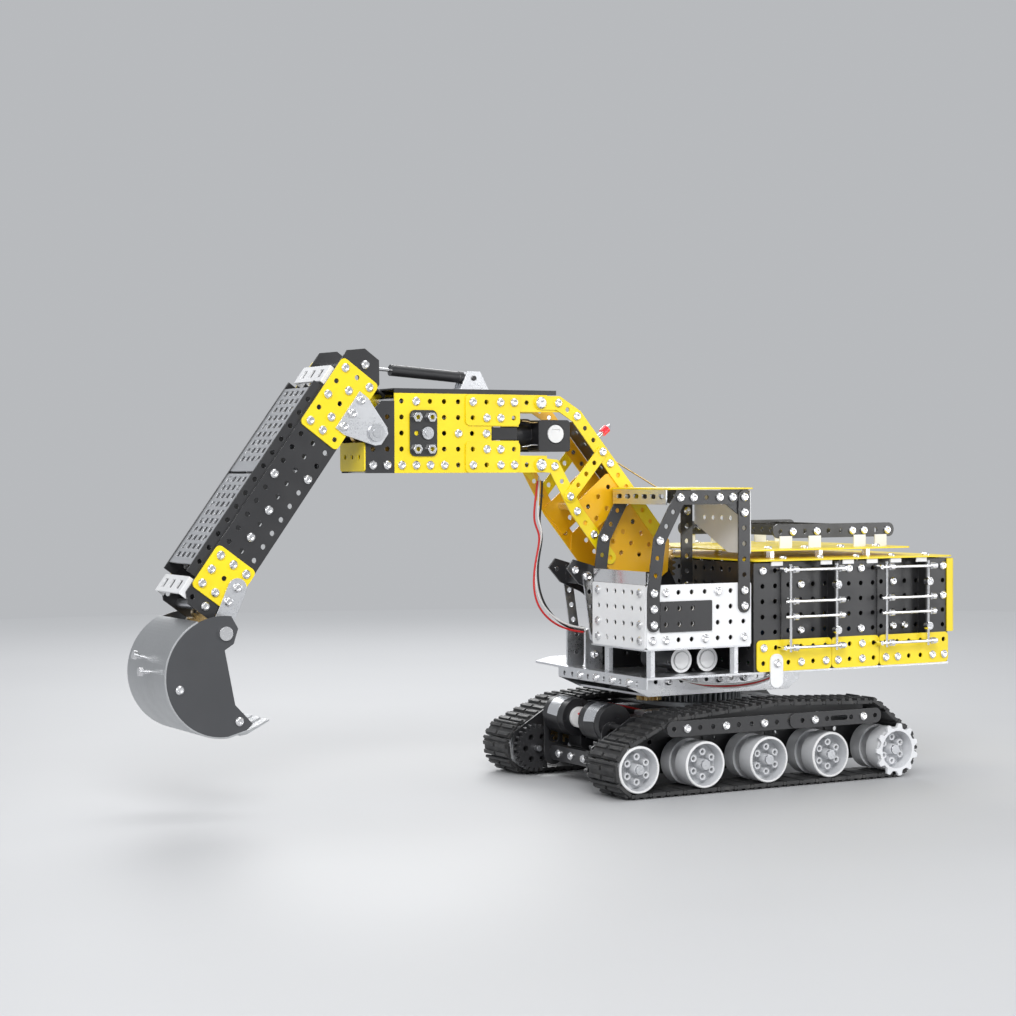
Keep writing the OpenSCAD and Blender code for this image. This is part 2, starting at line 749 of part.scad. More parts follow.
module engine_rear_cover() {
    b = engine_back;
    d = cover_depth;
    color([0.97, 0.8, 0.05]) difference() {
        flat(skirt_top + 0.2, eng_top - skirt_top - 0.4) polygon([[b + 2, 89], [b + 4 - d, 89], [b - d, 85],
            [b - d, -85], [b + 4 - d, -89], [b + 2, -89], [b + 2, -88], [b + 4.4 - d, -88],
            [b + 1 - d, -84.6], [b + 1 - d, 84.6], [b + 4.4 - d, 88], [b + 2, 88]]);
        for (y = [-70 : pitch : 70]) for (z = [112, 122, 132, 142])
            bar_x(y, z, b - d - 1, b - d + 2, hole_r);
    }
}
module engine_end_plate(x) {
    color([0.18, 0.18, 0.19]) across(x) difference() {
        translate([1 - side_y, deck_top]) square([2 * side_y - 2, eng_top - deck_top]);
        holes(-80, 82, 17, 7);
    }
}
module engine_rear_plate() engine_end_plate(engine_back);
module engine_front_plate() engine_end_plate(eng_front - 2);
module engine_top_cover() {
    color([0.97, 0.78, 0.05]) flat(eng_top + 1) difference() {
        polygon(round_box(engine_back - 3, -90, eng_front, 90, 4));
        holes(-135, -80, 15, 2);
        holes(-135, 70, 15, 2);
        holes(-135, -20, 15, 5);
    }
}
module top_tabs() {
    color([0.92, 0.92, 0.93]) both_sides(side_y) for (x = [-4, -44, -62, -82, -102, -124])
        translate([x - 4.5, eng_top - 2]) square([9, 2.9]);
    color([0.92, 0.92, 0.93]) both_sides(side_y + 1) difference() {
        polygon(round_box(-8, 66, 2, 88, 4.5));
        translate([-3, 82]) circle(hole_r);
    }
}
upper_z = 154;
module engine_upper_deck() {
    color([0.97, 0.78, 0.05]) flat(upper_z) difference() {
        polygon(round_box(-128, -74, eng_front - 2, 74, 4));
        holes(-115, -64, 13, 2);
        holes(-115, 54, 13, 2);
        holes(-115, -20, 13, 5);
    }
}
module deck_spacers() {
    color([0.8, 0.8, 0.82]) for (x = [-100, -60, -20]) for (y = [-59, 59]) difference() {
        translate([x, y, eng_top + 2]) cylinder(h = upper_z - eng_top - 2, r = 3, $fn = 6);
        translate([x, y, eng_top]) cylinder(h = 12, r = hole_r);
    }
}
rack_half = 56;
module roof_rack() {
    color([0.15, 0.15, 0.16]) {
        both_sides(rack_half) difference() {
            polygon(round_box(-126, 161.5, -24, 171, 4.5));
            holes(-120, 166, 10, 1);
        }
        for (x = [-110, -80, -50]) across(x) difference() {
            translate([-rack_half, 162.5]) square([2 * rack_half, 7]);
            holes(-50, 166, 11, 1);
        }
    }
}
module rack_feet() {
    color([0.88, 0.88, 0.9]) both_sides(rack_half + 1) for (x = [-114, -96, -58, -34])
        translate([x - 5, upper_z + 1]) square([10, 8]);
}

// Chrome rods standing off the open bays
rod_y = 95.5;
rod_r = 1;
rod_rows = [92, 112, 122, 142.5];
module rod_grilles() {
    color([0.85, 0.86, 0.88]) for (s = [0, 1]) mirror([0, s, 0]) for (b = bays) {
        for (x = [b[0] + 4.3, b[1] - 4.3]) {
            translate([x, rod_y - 2 * rod_r + 0.2, 89]) cylinder(h = 57, r = rod_r);
            for (z = rod_rows) bar_x(rod_y, z, x - 4.4, x - 1.4, 2.2);
        }
        for (z = rod_rows) bar_x(rod_y, z, b[0] - 1, b[1] + 1, rod_r);
        for (z = [102, 132]) bar_y(b[0] + 4.3, z, rod_y - 3.5, rod_y + 0.6, 2.6);
        for (x = [b[0] - 1, b[1] + 1]) {
            bar_y(x, rod_rows[0], side_y + 1, rod_y + 0.5, 1.5);
            bar_y(x, rod_rows[3], side_y, rod_y + 0.5, 1.5);
        }
    }
}
module battery_pack() {
    color([0.1, 0.25, 0.45]) for (i = [0 : 3]) bar_x(-30 + i * 20, 90, -125, -65, 9);
    color([0.1, 0.1, 0.1]) translate([-128, -42, deck_top]) cube([66, 84, 4.7]);
}
module receiver() {
    color([0.08, 0.3, 0.15]) translate([-52, -30, deck_top]) cube([30, 60, 2]);
    color([0.1, 0.1, 0.1]) translate([-48, -22, deck_top + 2]) cube([20, 30, 10]);
}

// ------------------------------------------------------------ boom

boom_rise = 25;
boom_y = boom_half - sheet;
neck_angle = 50.4;
motor_back = 110.5;
motor_front = 147;
motor_low = elbow_z - 11.5;
motor_high = elbow_z + 9;

// Puts children in the gooseneck's frame: X up along it from the base pivot, Z towards its back
module on_neck() translate([base_x, 0, base_z]) rotate([0, -neck_angle, 0]) children();

// A point of the gooseneck's frame in the boom's X and Z
function neck(a, c) = [base_x, base_z] + [a * cos(neck_angle) - c * sin(neck_angle),
    a * sin(neck_angle) + c * cos(neck_angle)];

neck_back = 16.2;
neck_front = -23;
upper_path = [[132, elbow_z + 20], [119, elbow_z + 20], [105, 242.5], neck(16, neck_back)];
lower_path = [[132, elbow_z - 20], [122, elbow_z - 21], neck(68, neck_front), neck(28, neck_front)];
cross_path = [strip_hole(upper_path, 2, 3), strip_hole(lower_path, 1, 2)];

module boom_side_plates() {
    color([0.98, 0.82, 0.05]) both_sides(boom_y) difference() {
        polygon([[127, elbow_z - boom_rise], [237, elbow_z - boom_rise], [237, elbow_z + boom_rise],
            [127, elbow_z + boom_rise], [117, elbow_z + 14], [motor_front + 1, elbow_z + 14],
            [motor_front + 1, elbow_z + 4.5], [168, elbow_z + 4.5], [168, elbow_z - 4.5],
            [motor_front + 1, elbow_z - 4.5], [motor_front + 1, elbow_z - 14], [127, elbow_z - 14]]);
        holes(132, elbow_z + 20, 11, 1);
        holes(132, elbow_z - 20, 11, 1);
        holes(152, elbow_z + 10, 5, 1);
        holes(152, elbow_z - 10, 5, 1);
        holes(202, elbow_z + 10, 1, 1);
        holes(232, elbow_z - 10, 1, 3);
        holes(202, elbow_z - 10, 1, 2);
        holes(172, elbow_z, 3, 1);
        translate([stick_shaft_x, elbow_z]) circle(6);
    }
}

// Rounded plates laid over the side plates near the elbow
module boom_doublers() {
    color([0.98, 0.8, 0.04]) both_sides(boom_half) {
        plate(147.5, elbow_z + 5, 187, elbow_z + boom_rise, 152, elbow_z + 10, 4, 2, 3);
        plate(147.5, elbow_z - boom_rise, 187, elbow_z - 5, 152, elbow_z - 20, 4, 2, 3);
    }
}
module neck_strips() {
    color([0.98, 0.78, 0.04]) both_sides(boom_half) {
        bent_strip(upper_path, 9);
        bent_strip(lower_path, 9);
    }
    color([0.98, 0.8, 0.04]) both_sides(boom_half + sheet + lap)
        bent_strip(cross_path, 8);
}
module neck_plates() {
    color([0.96, 0.66, 0.06]) on_neck() both_sides(boom_y, sheet - lap) {
        difference() {
            polygon([[49, -26], [72, -26], [72, 10], [66, 20], [49, 20]]);
            holes(54.3, -14, 2, 3);
        }
        difference() {
            polygon([[-8, -8], [-9, 6], [6, 20], [45, 20], [45, -20], [36, -28], [18, -28], [4, -12]]);
            circle(pin_r);
            holes(14.3, -4, 3, 2);
            holes(24.3, -14, 2, 1);
        }
    }
}

// Black channel along the top of the boom
top_z = elbow_z + boom_rise;
module boom_top_channel() {
    color([0.14, 0.14, 0.15]) {
        flat(top_z + 2) difference() {
            translate([120, -boom_half]) square([117, 2 * boom_half]);
            holes(132, -5, 10, 2);
        }
        both_sides(boom_y) translate([120, top_z]) square([117, 2.5]);
    }
}
module neck_spine() {
    color([0.14, 0.14, 0.15]) on_neck() translate([40, 0, 20.6]) linear_extrude(sheet) difference() {
        translate([0, -boom_y]) square([68, 2 * boom_y]);
        holes(9, -5, 6, 2);
    }
}
module boom_bottom_plate() {
    color([0.85, 0.86, 0.88]) flat(elbow_z - boom_rise) difference() {
        translate([135, -boom_y]) square([118, 2 * boom_y]);
        holes(142, -10, 10, 3);
    }
}

// Round spacers that hold the side plates apart
module boom_spacers() {
    color([0.8, 0.8, 0.82]) for (p = [[132, elbow_z + 20], [132, elbow_z - 20], [182, elbow_z + 20],
        [182, elbow_z - 20], [232, elbow_z + 20], [202, elbow_z - 20], neck(64.3, -14), neck(34.3, 6)])
        difference() {
            bar_y(p[0], p[1], -boom_y, boom_y, 3);
            bar_y(p[0], p[1], -boom_half, boom_half, hole_r);
        }
}
module boom_front_plates() {
    color([0.16, 0.16, 0.17]) both_sides(boom_y) difference() {
        polygon([[237, elbow_z - boom_rise], [257, elbow_z - boom_rise], [257, elbow_z + 8],
            [246, elbow_z + 20], [237, elbow_z + 20]]);
        translate([elbow_x, elbow_z]) circle(pin_r + run);
        holes(242, elbow_z - 20, 2, 2);
        translate([242, elbow_z + 10]) circle(hole_r);
    }
}
module boom_nose() {
    color([0.95, 0.6, 0.08]) across(257) difference() {
        polygon(round_box(-boom_half, elbow_z - 24, boom_half, elbow_z - 6, 2));
        holes(-10, elbow_z - 15, 3, 1);
    }
}

// Plates that carry the stick's drive shaft, with four nuts each
stick_gear_teeth = 36;
stick_shaft_teeth = 24;
stick_shaft_x = elbow_x - (stick_gear_teeth + stick_shaft_teeth) * gear_m / 2;
shaft_r = 2;
plate_x = 217;
module shaft_plates() {
    color([0.17, 0.17, 0.18]) both_sides(boom_half) difference() {
        polygon(round_box(plate_x - 9.5, elbow_z - 14.5, plate_x + 9.5, elbow_z + 14.5, 3.5));
        translate([stick_shaft_x, elbow_z]) circle(shaft_r + run);
        translate([plate_x + 5, elbow_z]) circle(hole_r);
        for (x = [-5, 5]) for (z = [-10, 10]) translate([plate_x + x, elbow_z + z]) circle(hole_r);
    }
}
module hex_nuts() {
    color([0.85, 0.85, 0.86]) for (x = [-5, 5]) for (z = [-10, 10]) for (s = [1, -1])
        translate([plate_x + x, s * (boom_half + sheet), elbow_z + z]) rotate([-90 * s, 0, 0]) difference() {
            cylinder(h = 2.4, r = 3.2, $fn = 6);
            translate([0, 0, -1]) cylinder(h = 5, r = 1.5);
        }
}
module stick_shaft() {
    color([0.8, 0.8, 0.82]) translate([stick_shaft_x, 0, elbow_z]) {
        bar_y(0, 0, -20.4, 20.4, shaft_r);
        for (s = [1, -1]) rotate([-90 * s, 0, 0])
            translate([0, 0, boom_half + sheet + 0.1]) cylinder(h = 1.2, r = 4);
        side(-2, 4) rotate(180 / stick_shaft_teeth) polygon(gear_outline(stick_shaft_teeth, gear_m));
    }
}

// Motor in the elbow that turns the stick, with its coupling sleeve
module stick_motor() {
    color([0.08, 0.08, 0.09]) difference() {
        union() {
            for (s = [0, 1]) mirror([0, s, 0])
                side(4, 15) polygon(round_box(motor_back, motor_low, 134, motor_high, 2.5));
            side(-4.5, 9) polygon(round_box(motor_back + 1, elbow_z - 8, 133, elbow_z + 8, 2));
            bar_x(0, elbow_z, 132, 147, 10);
        }
        for (s = [0, 1]) mirror([0, s, 0]) bar_y(121.5, elbow_z, 18, 20, 6.4);
    }
}
module motor_discs() {
    color([0.93, 0.93, 0.93]) for (s = [0, 1]) mirror([0, s, 0]) difference() {
        bar_y(121.5, elbow_z, 18, 19.6, 5.8);
        translate([118.5, 19, elbow_z + 1.6]) cube([6, 2, 1.4]);
    }
}
module motor_coupling() {
    color([0.1, 0.1, 0.11]) {
        bar_x(0, elbow_z, 147, 196, 3.5);
        both_sides(10, 7) polygon(round_box(149, elbow_z - 4, 167.5, elbow_z + 4, 0.8));
        bar_y(158, elbow_z, -10, 10, 3);
        side(-9, 18) polygon(round_box(184, elbow_z - 10, 197.5, elbow_z + 10, 2));
    }
}
module boom_pin() {
    color([0.8, 0.8, 0.82]) {
        bar_y(base_x, base_z, -18.5, 18.5, pin_r);
        for (s = [1, -1]) translate([base_x, s * boom_half, base_z]) rotate([-90 * s, 0, 0])
            cylinder(h = 1.6, r = 4.5);
    }
}
module boom_gear() {
    color([0.75, 0.62, 0.3]) translate([base_x, 0, base_z]) side(2, 5) difference() {
        rotate(lift_dir) polygon(gear_outline(boom_gear_teeth, gear_m));
        circle(pin_r + lap);
        for (a = [0 : 60 : 300]) translate(polar(13, a)) circle(3);
    }
}
module beacon() {
    at = neck(88, 36);
    color([0.8, 0.8, 0.82]) translate([at[0], 0, at[1]]) rotate([0, -neck_angle, 0]) {
        translate([0, 0, -14.4]) cylinder(h = 12, r = 1.5);
        translate([0, 0, 2.4]) cylinder(h = 3, r1 = 2.4, r2 = 1.2);
    }
    color([0.85, 0.05, 0.08]) translate([at[0], 0, at[1]]) rotate([0, -neck_angle, 0])
        translate([0, 0, -2.4]) cylinder(h = 4.8, r = 2.8);
}
module aerial() {
    foot = neck(76, 21.6);
    start = neck(76, 23.6);
    color([0.7, 0.6, 0.35]) {
        translate([foot[0], 6, foot[1]]) rotate([0, -neck_angle, 0]) cylinder(h = 3, r = 1.8);
        translate([start[0], 6, start[1]]) rotate([0, -118, 0]) cylinder(h = 62, r = 0.5);
    }
}

// Bracket and barrel of the slim cylinder over the boom
ram_x = 174;
ram_z = 266.6;
ram_pin = [-30, 30];
ram_end = [elbow_x + ram_pin[0] * cos(stick_fall) + ram_pin[1] * sin(stick_fall),
    elbow_z - ram_pin[0] * sin(stick_fall) + ram_pin[1] * cos(stick_fall)];
ram_tilt = atan2(ram_end[1] - ram_z, ram_end[0] - ram_x);
ram_rod_r = 1.2;
rod_tip = 33.4;
module ram_bracket() {
    color([0.85, 0.86, 0.88]) {
        both_sides(4, 1.2) difference() {
            polygon([[ram_x - 11, top_z + 3], [ram_x + 10, top_z + 3], [ram_x + 4.5, ram_z + 4.5],
                [ram_x - 4.5, ram_z + 4.5]]);
            translate([ram_x, ram_z]) circle(1.55);
        }
        flat(top_z + 3) translate([ram_x - 11, -4.5]) square([21, 9]);
    }
}
module along_ram() translate([ram_x, 0, ram_z]) rotate([0, 90 - ram_tilt, 0]) children();
module ram_barrel() {
    color([0.09, 0.09, 0.1]) {
        bar_y(ram_x, ram_z, -6.2, 6.2, 1.5);
        along_ram() difference() {
            union() {
                translate([0, 0, -3]) cylinder(h = 9, r = 2.6);
                translate([0, 0, 6]) cylinder(h = 3, r = 3.9);
                translate([0, 0, 8.5]) cylinder(h = 49, r = 3.6);
            }
            translate([0, 0, 10]) cylinder(h = 44.5, r = 2.9);
            translate([0, 0, 54]) cylinder(h = 4, r = ram_rod_r + run);
        }
    }
}
module ram_rod() {
    length = norm(ram_end - [ram_x, ram_z]);
    color([0.15, 0.15, 0.16]) {
        bar_y(ram_end[0], ram_end[1], -6, 6, 3);
        along_ram() translate([0, 0, rod_tip]) cylinder(h = length - rod_tip, r = ram_rod_r);
    }
}

// ------------------------------------------------------------ stick

// Puts children in the stick's frame: X down along it from its pivot, Z towards its front
module on_stick() translate([elbow_x, 0, elbow_z]) rotate([0, stick_fall, 0]) children();

stick_y = 19.8;
stick_low = 15;
stick_high = 45;
bucket_u = stick_len - 1;
bucket_v = 14;
module stick_side_plates() {
    color([0.17, 0.17, 0.18]) on_stick() both_sides(stick_y) difference() {
        polygon([[-26, stick_low], [150, stick_low], [155, 22], [155, 40], [150, stick_high],
            [-30, stick_high], [-38, 36], [-38, 24]]);
        holes(-20, 20, 18, 3);
        translate(ram_pin) circle(hole_r);
    }
}
module stick_upper_plates() {
    color([0.98, 0.82, 0.05]) on_stick() both_sides(stick_y + sheet)
        plate(-25, stick_low, 25, stick_high, -20, 20, 5, 3, 3);
}
module stick_lower_plates() {
    color([0.98, 0.82, 0.05]) on_stick() both_sides(stick_y + sheet)
        plate(115, stick_low, 145, stick_high, 120, 20, 3, 3, 3);
}
module pivot_brackets() {
    color([0.75, 0.76, 0.78]) on_stick() both_sides(stick_y + 2 * sheet) difference() {
        polygon([[-7, -4], [-4, -7], [4, -7], [7, -4], [14, 17], [14, 24], [-14, 24], [-14, 17]]);
        circle(pin_r);
        for (x = [-10, 0, 10]) translate([x, 20]) circle(hole_r);
    }
}
module stick_pin() {
    color([0.8, 0.8, 0.82]) on_stick() {
        bar_y(0, 0, -24.4, 24.4, pin_r);
        for (s = [1, -1]) rotate([-90 * s, 0, 0]) {
            translate([0, 0, stick_y + 3 * sheet]) cylinder(h = 1.2, r = 5.5);
            translate([0, 0, boom_half + 0.2]) cylinder(h = stick_y + 2 * sheet - boom_half - 0.2, r = 5);
        }
    }
}

// Toothed sector that the drive shaft's gear swings
module stick_gear() {
    reach = stick_gear_teeth * gear_m / 2 + gear_m;
    color([0.75, 0.62, 0.3]) translate([elbow_x, 0, elbow_z]) side(-2, 4) difference() {
        union() {
            intersection() {
                rotate(180) polygon(gear_outline(stick_gear_teeth, gear_m));
                translate([-reach, -reach]) square([reach - 12, 2 * reach]);
            }
            polygon([[-12.5, -17], [-12.5, 17], [0, 7], [0, -7]]);
            circle(7);
        }
        circle(pin_r + lap);
        for (a = [155 : 25 : 205]) translate(polar(14, a)) circle(2.2);
    }
}

// Perforated cover on the stick's front, in two lengths
module stick_cover() {
    color([0.6, 0.61, 0.63]) on_stick() for (part = [[3, 66], [68, 134]])
        translate([0, 0, 50]) linear_extrude(sheet) difference() {
            translate([part[0], -18.6]) square([part[1] - part[0], 37.2]);
            for (x = [part[0] + 4 : 6.2 : part[1] - 4]) for (y = [-12, -4, 4, 12])
                translate([x - 1.9, y - 2.2]) square([3.8, 4.4]);
        }
}
module stick_channel() {
    color([0.14, 0.14, 0.15]) on_stick() both_sides(stick_y - 1.1) difference() {
        translate([-2, 43.2]) square([141, 8.3]);
        holes(10, 48, 13, 1);
    }
}
module stick_end_brackets() {
    color([0.92, 0.92, 0.93]) on_stick() for (u = [-16, 141]) {
        difference() {
            translate([u, -19.8, 47]) cube([12, 39.6, 1.2]);
            for (y = [-12, 0, 12]) translate([u + 3, y - 2.5, 46]) cube([6, 5, 3]);
        }
        both_sides(stick_y - 1.1) translate([u, 42]) square([12, 5.2]);
    }
}
module stick_spacers() {
    color([0.8, 0.8, 0.82]) on_stick() {
        for (p = [[40, 20], [40, 40], [100, 30], [150, 30]]) difference() {
            bar_y(p[0], p[1], -stick_y, stick_y, 3);
            bar_y(p[0], p[1], -30, 30, hole_r);
        }
        for (y = [6.2, -stick_y]) difference() {
            bar_y(ram_pin[0], ram_pin[1], y, y + stick_y - 6.2, 3);
            bar_y(ram_pin[0], ram_pin[1], y - 1, y + stick_y, hole_r);
        }
    }
}

// Arms that carry the bucket's pin
module bucket_arms() {
    color([0.7, 0.71, 0.73]) on_stick() both_sides(stick_y + 2 * sheet) difference() {
        polygon(strip([[130, 20], [bucket_u, bucket_v]], 12));
        translate([bucket_u, bucket_v]) circle(pin_r + run);
        translate([130, 20]) circle(hole_r);
        translate([140, 20]) circle(hole_r);
    }
}
bucket_gear_teeth = 20;
bucket_pinion_teeth = 12;
bucket_gap = (bucket_gear_teeth + bucket_pinion_teeth) * gear_m / 2;
bucket_dir = 160;
bucket_pinion_at = [bucket_u, bucket_v] + polar(bucket_gap, bucket_dir);
module bucket_motor() {
    color([0.08, 0.08, 0.09]) on_stick() difference() {
        union() {
            side(-14, 12) polygon(round_box(108, 17, 147, 37, 2));
            bar_y(118, 29, -3, 14, 8);
        }
        bar_y(bucket_pinion_at[0], bucket_pinion_at[1], -8, -1, 1.6);
    }
}
module bucket_pinion() {
    color([0.75, 0.62, 0.3]) on_stick() translate([bucket_pinion_at[0], 0, bucket_pinion_at[1]]) {
        side(-1, 4) rotate(bucket_dir + 180 + 180 / bucket_pinion_teeth)
            polygon(gear_outline(bucket_pinion_teeth, gear_m));
        bar_y(0, 0, -6, -1, 1.5);
    }
}

// ------------------------------------------------------------ bucket

// Puts children in the bucket's frame, at its pivot and turned as the stick
module on_bucket() on_stick() translate([bucket_u, 0, bucket_v]) children();
bowl = [21.3, -14];
bowl_r = 36;
lip_a = [39, -45];
shell_arc = arc(bowl, bowl_r, -40, 118, 40);
module bucket_sides() {
    color([0.2, 0.2, 0.22]) on_bucket() both_sides(bucket_half - 1.2, 1.2) difference() {
        polygon(concat([[2, -8], [8.3, -5.5], [31, -30], [34, -46], lip_a],
            shell_arc, arc(bowl, bowl_r, 122, 152, 6), [[-7, -5]]));
        circle(pin_r);
        for (p = [[43, 4.4], [37.5, -38]]) translate(p) circle(hole_r);
    }
}
module bucket_shell() {
    outer = arc(bowl, bowl_r + 1, 118, -40, 40);
    color([0.45, 0.46, 0.48]) on_bucket() side(-bucket_half, 2 * bucket_half)
        polygon(concat([lip_a], shell_arc, outer, [lip_a + [0.7, -0.8]]));
}
module bucket_teeth() {
    color([0.3, 0.3, 0.32]) on_bucket() for (i = [0 : 4]) {
        y = -bucket_half + 2 + i * (2 * bucket_half - 12) / 4;
        side(y, 8) translate([lap, -lap]) polygon([lip_a + [0.7, -0.8], lip_a + [4, 1.8],
            lip_a + [4.8, 0.6], lip_a + [1.6, -2.4], [26.5, -54.6], [25.8, -53.8]]);
    }
}
module bucket_pin() {
    arm_face = stick_y + 3 * sheet + 0.2;
    color([0.8, 0.8, 0.82]) on_bucket() {
        bar_y(0, 0, -bucket_half - 1, bucket_half + 1, pin_r);
        for (s = [1, -1]) rotate([-90 * s, 0, 0]) {
            translate([0, 0, bucket_half]) cylinder(h = 1.8, r = 4.2);
            translate([0, 0, arm_face]) cylinder(h = bucket_half - 1.2 - arm_face, r = 4.5);
        }
    }
}
module bucket_gear() {
    color([0.75, 0.62, 0.3]) on_bucket() side(-1, 4) difference() {
        rotate(bucket_dir) polygon(gear_outline(bucket_gear_teeth, gear_m));
        circle(pin_r + lap);
    }
}
module bucket_bolts() {
    color([0.85, 0.86, 0.88]) on_bucket() {
        for (p = [[43, 4.4], [37.5, -38]]) for (s = [1, -1]) screw_y(p[0], s * bucket_half, p[1], s, 4);
        for (q = [[70, -6], [58, 8]]) translate([bowl[0], q[1], bowl[1]]) rotate([0, 90 - q[0], 0])
            translate([0, 0, bowl_r + 1]) {
                cylinder(h = 5, r = 1.4);
                translate([0, 0, 5]) cylinder(h = 2.4, r = 2.6);
            }
    }
}

// ------------------------------------------------------------ fasteners

outer_face = side_y + 1;
module chassis_screws() {
    color([0.85, 0.85, 0.87]) {
        for (x = spacer_x) for (s = [1, -1]) {
            screw_y(x, s * (x > -20 ? 87 : 88 + lap), rail_z, s, 6);
            screw_y(x, s * rail_in, rail_z, -s, 6);
        }
        for (x = flange_x) for (s = [1, -1]) screw_y(x, s * (rail_in - 1), rail_z, -s, 2);
        screws_both([[91, 15]], 37.5, 1.4);
        for (y = [-24, -8, 8, 24]) screw_x(94, y, 17, 1, 5);
    }
}
module cab_screws() {
    for (z = [120, 130, pillar_top - pitch, pillar_top]) screw_y(pillar_x, outer_face, z);
    for (p = [[32, pillar_top], [42, pillar_top], [62, pillar_top], [72, pillar_top], [87.5, 163], [92, 130],
        [92, 120], [92, 110]]) screw_y(p[0], outer_face + sheet + lap, p[1]);
    for (p = [[82, 130], [42, 130], [92, 100], [82, 100], [52, 100], [22, 100]]) screw_y(p[0], side_y, p[1]);
    for (y = [32, 82]) for (z = [100, 110, 130]) screw_x(cab_front, y, z, 1, 2.5);
    for (p = [[72, pillar_top], [87.5, 163]]) screw_y(p[0], cab_in + 2 * sheet + lap, p[1], 1, 2.5);
    for (z = [130, pillar_top - pitch]) screw_y(pillar_x, cab_in + sheet, z, 1, 2.5);
}
module engine_screws() {
    screws_both([[7, 142], [-63, 142], [-73, 142], [-73, 102], [-143, 142], [-143, 122]], side_y);
    screws_both([[-29.5, 132], [-29.5, 102], [-106.5, 132], [-106.5, 102], [-116.5, 102]], bay_back + 1);
    screws_both([[7, 92], [-23, 82], [-43, 82], [-73, 82], [-73, 92], [-93, 82], [-103, 82], [-133, 82],
        [-143, 82]], outer_face);
    screws_both([[-53, 82]], outer_face, 0.9);
    screws_both([[-3, 82]], outer_face + sheet, 4);
    screws_both([for (x = [-120, -100, -90, -60, -40]) [x, 166]], rack_half + 1);
    for (y = [-80, 80]) for (x = [-135 : 3 * pitch : -15]) screw_z(x, y, eng_top + 2, 0.95);
    for (y = [-64, 64]) for (x = [-105 : 3 * pitch : -15]) screw_z(x, y, upper_z + 1, 0.95);
    for (y = [-60, 0, 60]) for (z = [112, 142])
        screw_x(engine_back - cover_depth, y, z, -1, cover_depth + 1.5);
}
module platform_screws() {
    color([0.85, 0.85, 0.87]) {
        cab_screws();
        engine_screws();
        screws_both([[-30, 69], [-10, 69], [10, 69], [30, 69], [50, 69]], frame_half + 1);
        for (y = [5, 25, 45, 65]) screw_x(94.9, y, 72, 1, 3);
        screws_both([[24, 86], [54, 96], arm_holes[0], arm_holes[2]], 12.5, 1.6);
        screws_both([arm_holes[1], strut_foot], 13.5 + lap, 2.5);
        screws_both([[88, 86]], 12.5, 1.6);
        deck_spacers();
    }
}
module boom_screws() {
    face = boom_half;
    color([0.85, 0.85, 0.87]) {
        screws_both([for (x = [202 : pitch : 232]) [x, elbow_z - 20]], face);
        screws_both([[222, elbow_z + 20], [192, elbow_z], [172, elbow_z], [252, elbow_z - 20],
            [242, elbow_z - 20]], face);
        screws_both([for (x = [152, 162, 182]) for (z = [-20, 20]) [x, elbow_z + z]], face + sheet);
        screws_both([for (x = [162, 172]) for (z = [-10, 10]) [x, elbow_z + z]], face + sheet);
        screws_both([upper_path[1], upper_path[2], strip_hole(upper_path, 2, 4), lower_path[1]],
            face + sheet, 0.95);
        screws_both([lower_path[2], strip_hole(lower_path, 2, 2)], face + sheet, 0.95);
        screws_both(cross_path, face + 2 * sheet + lap, 1.9);
        for (z = [-20, 20]) for (s = [1, -1]) translate([132, s * (face + sheet), elbow_z + z])
            rotate([-90 * s, 0, 0]) screw(4, 3.8);
        boom_spacers();
        hex_nuts();
        motor_discs();
    }
}
module stick_screws() {
    color([0.85, 0.85, 0.87]) on_stick() {
        screws_both([[-20, 20], [-20, 40], [-10, 30], [0, 40], [20, 40], [20, 30], [10, 30]], stick_y + 2, 2);
        screws_both([[120, 20], [120, 40], [130, 40], [140, 40], [120, 30], [140, 30]], stick_y + 2, 2);
        screws_both([for (u = [-10, 0, 10]) [u, 20]], stick_y + 3, 3);
        screws_both([[130, 20], [140, 20]], stick_y + 3, 3);
        screws_both([[50, 20], [80, 30], [60, 40], [100, 30], [150, 30]], stick_y + 1, 1);
        screws_both([ram_pin], stick_y + 1, 0.9);
    }
}

// ------------------------------------------------------------ nodes of several pieces

module chassis() {
    chassis_frame();
    front_beam();
}
module track_rails() {
    rail_plates();
    rail_strips();
    track_skids();
}
module axle_set() {
    axles();
    rail_spacers();
}
module turntable() {
    slew_ring();
    spindle_nut();
}
module pedestal() {
    pedestal_plates();
    pedestal_strut();
}
module platform_motors() {
    slew_motor();
    lift_motor();
    deck_motors();
}
module cab_silver_parts() {
    cab_floor();
    cab_roof_lip();
    dashboard();
}
module cab_panels() {
    cab_side_panel();
    cab_front_panel();
    cab_back_panel();
}
module cab_frame() {
    cab_pillars();
    cab_insert();
}
module seat_and_levers() {
    seat();
    control_levers();
}
module engine_plates() {
    engine_side_plates();
    bay_plates();
    engine_rear_plate();
    engine_front_plate();
}
module engine_yellow_panels() {
    engine_skirt();
    engine_rear_cover();
}
module engine_covers() {
    engine_top_cover();
    engine_upper_deck();
}
module angle_brackets() {
    top_tabs();
    rack_feet();
}
module power_and_radio() {
    battery_pack();
    receiver();
}
module boom_strips() {
    boom_doublers();
    neck_strips();
    neck_plates();
    boom_nose();
}
module boom_black_plates() {
    boom_top_channel();
    neck_spine();
    boom_front_plates();
    shaft_plates();
}
module boom_silver_parts() {
    boom_bottom_plate();
    ram_bracket();
}
module elbow_motor() {
    stick_motor();
    motor_coupling();
}
module boom_pivot() {
    boom_pin();
    boom_gear();
}
module beacon_and_aerial() {
    beacon();
    aerial();
}
module stick_black_plates() {
    stick_side_plates();
    stick_channel();
}
module stick_yellow_plates() {
    stick_upper_plates();
    stick_lower_plates();
}
module stick_silver_parts() {
    stick_cover();
    stick_end_brackets();
    pivot_brackets();
    bucket_arms();
}
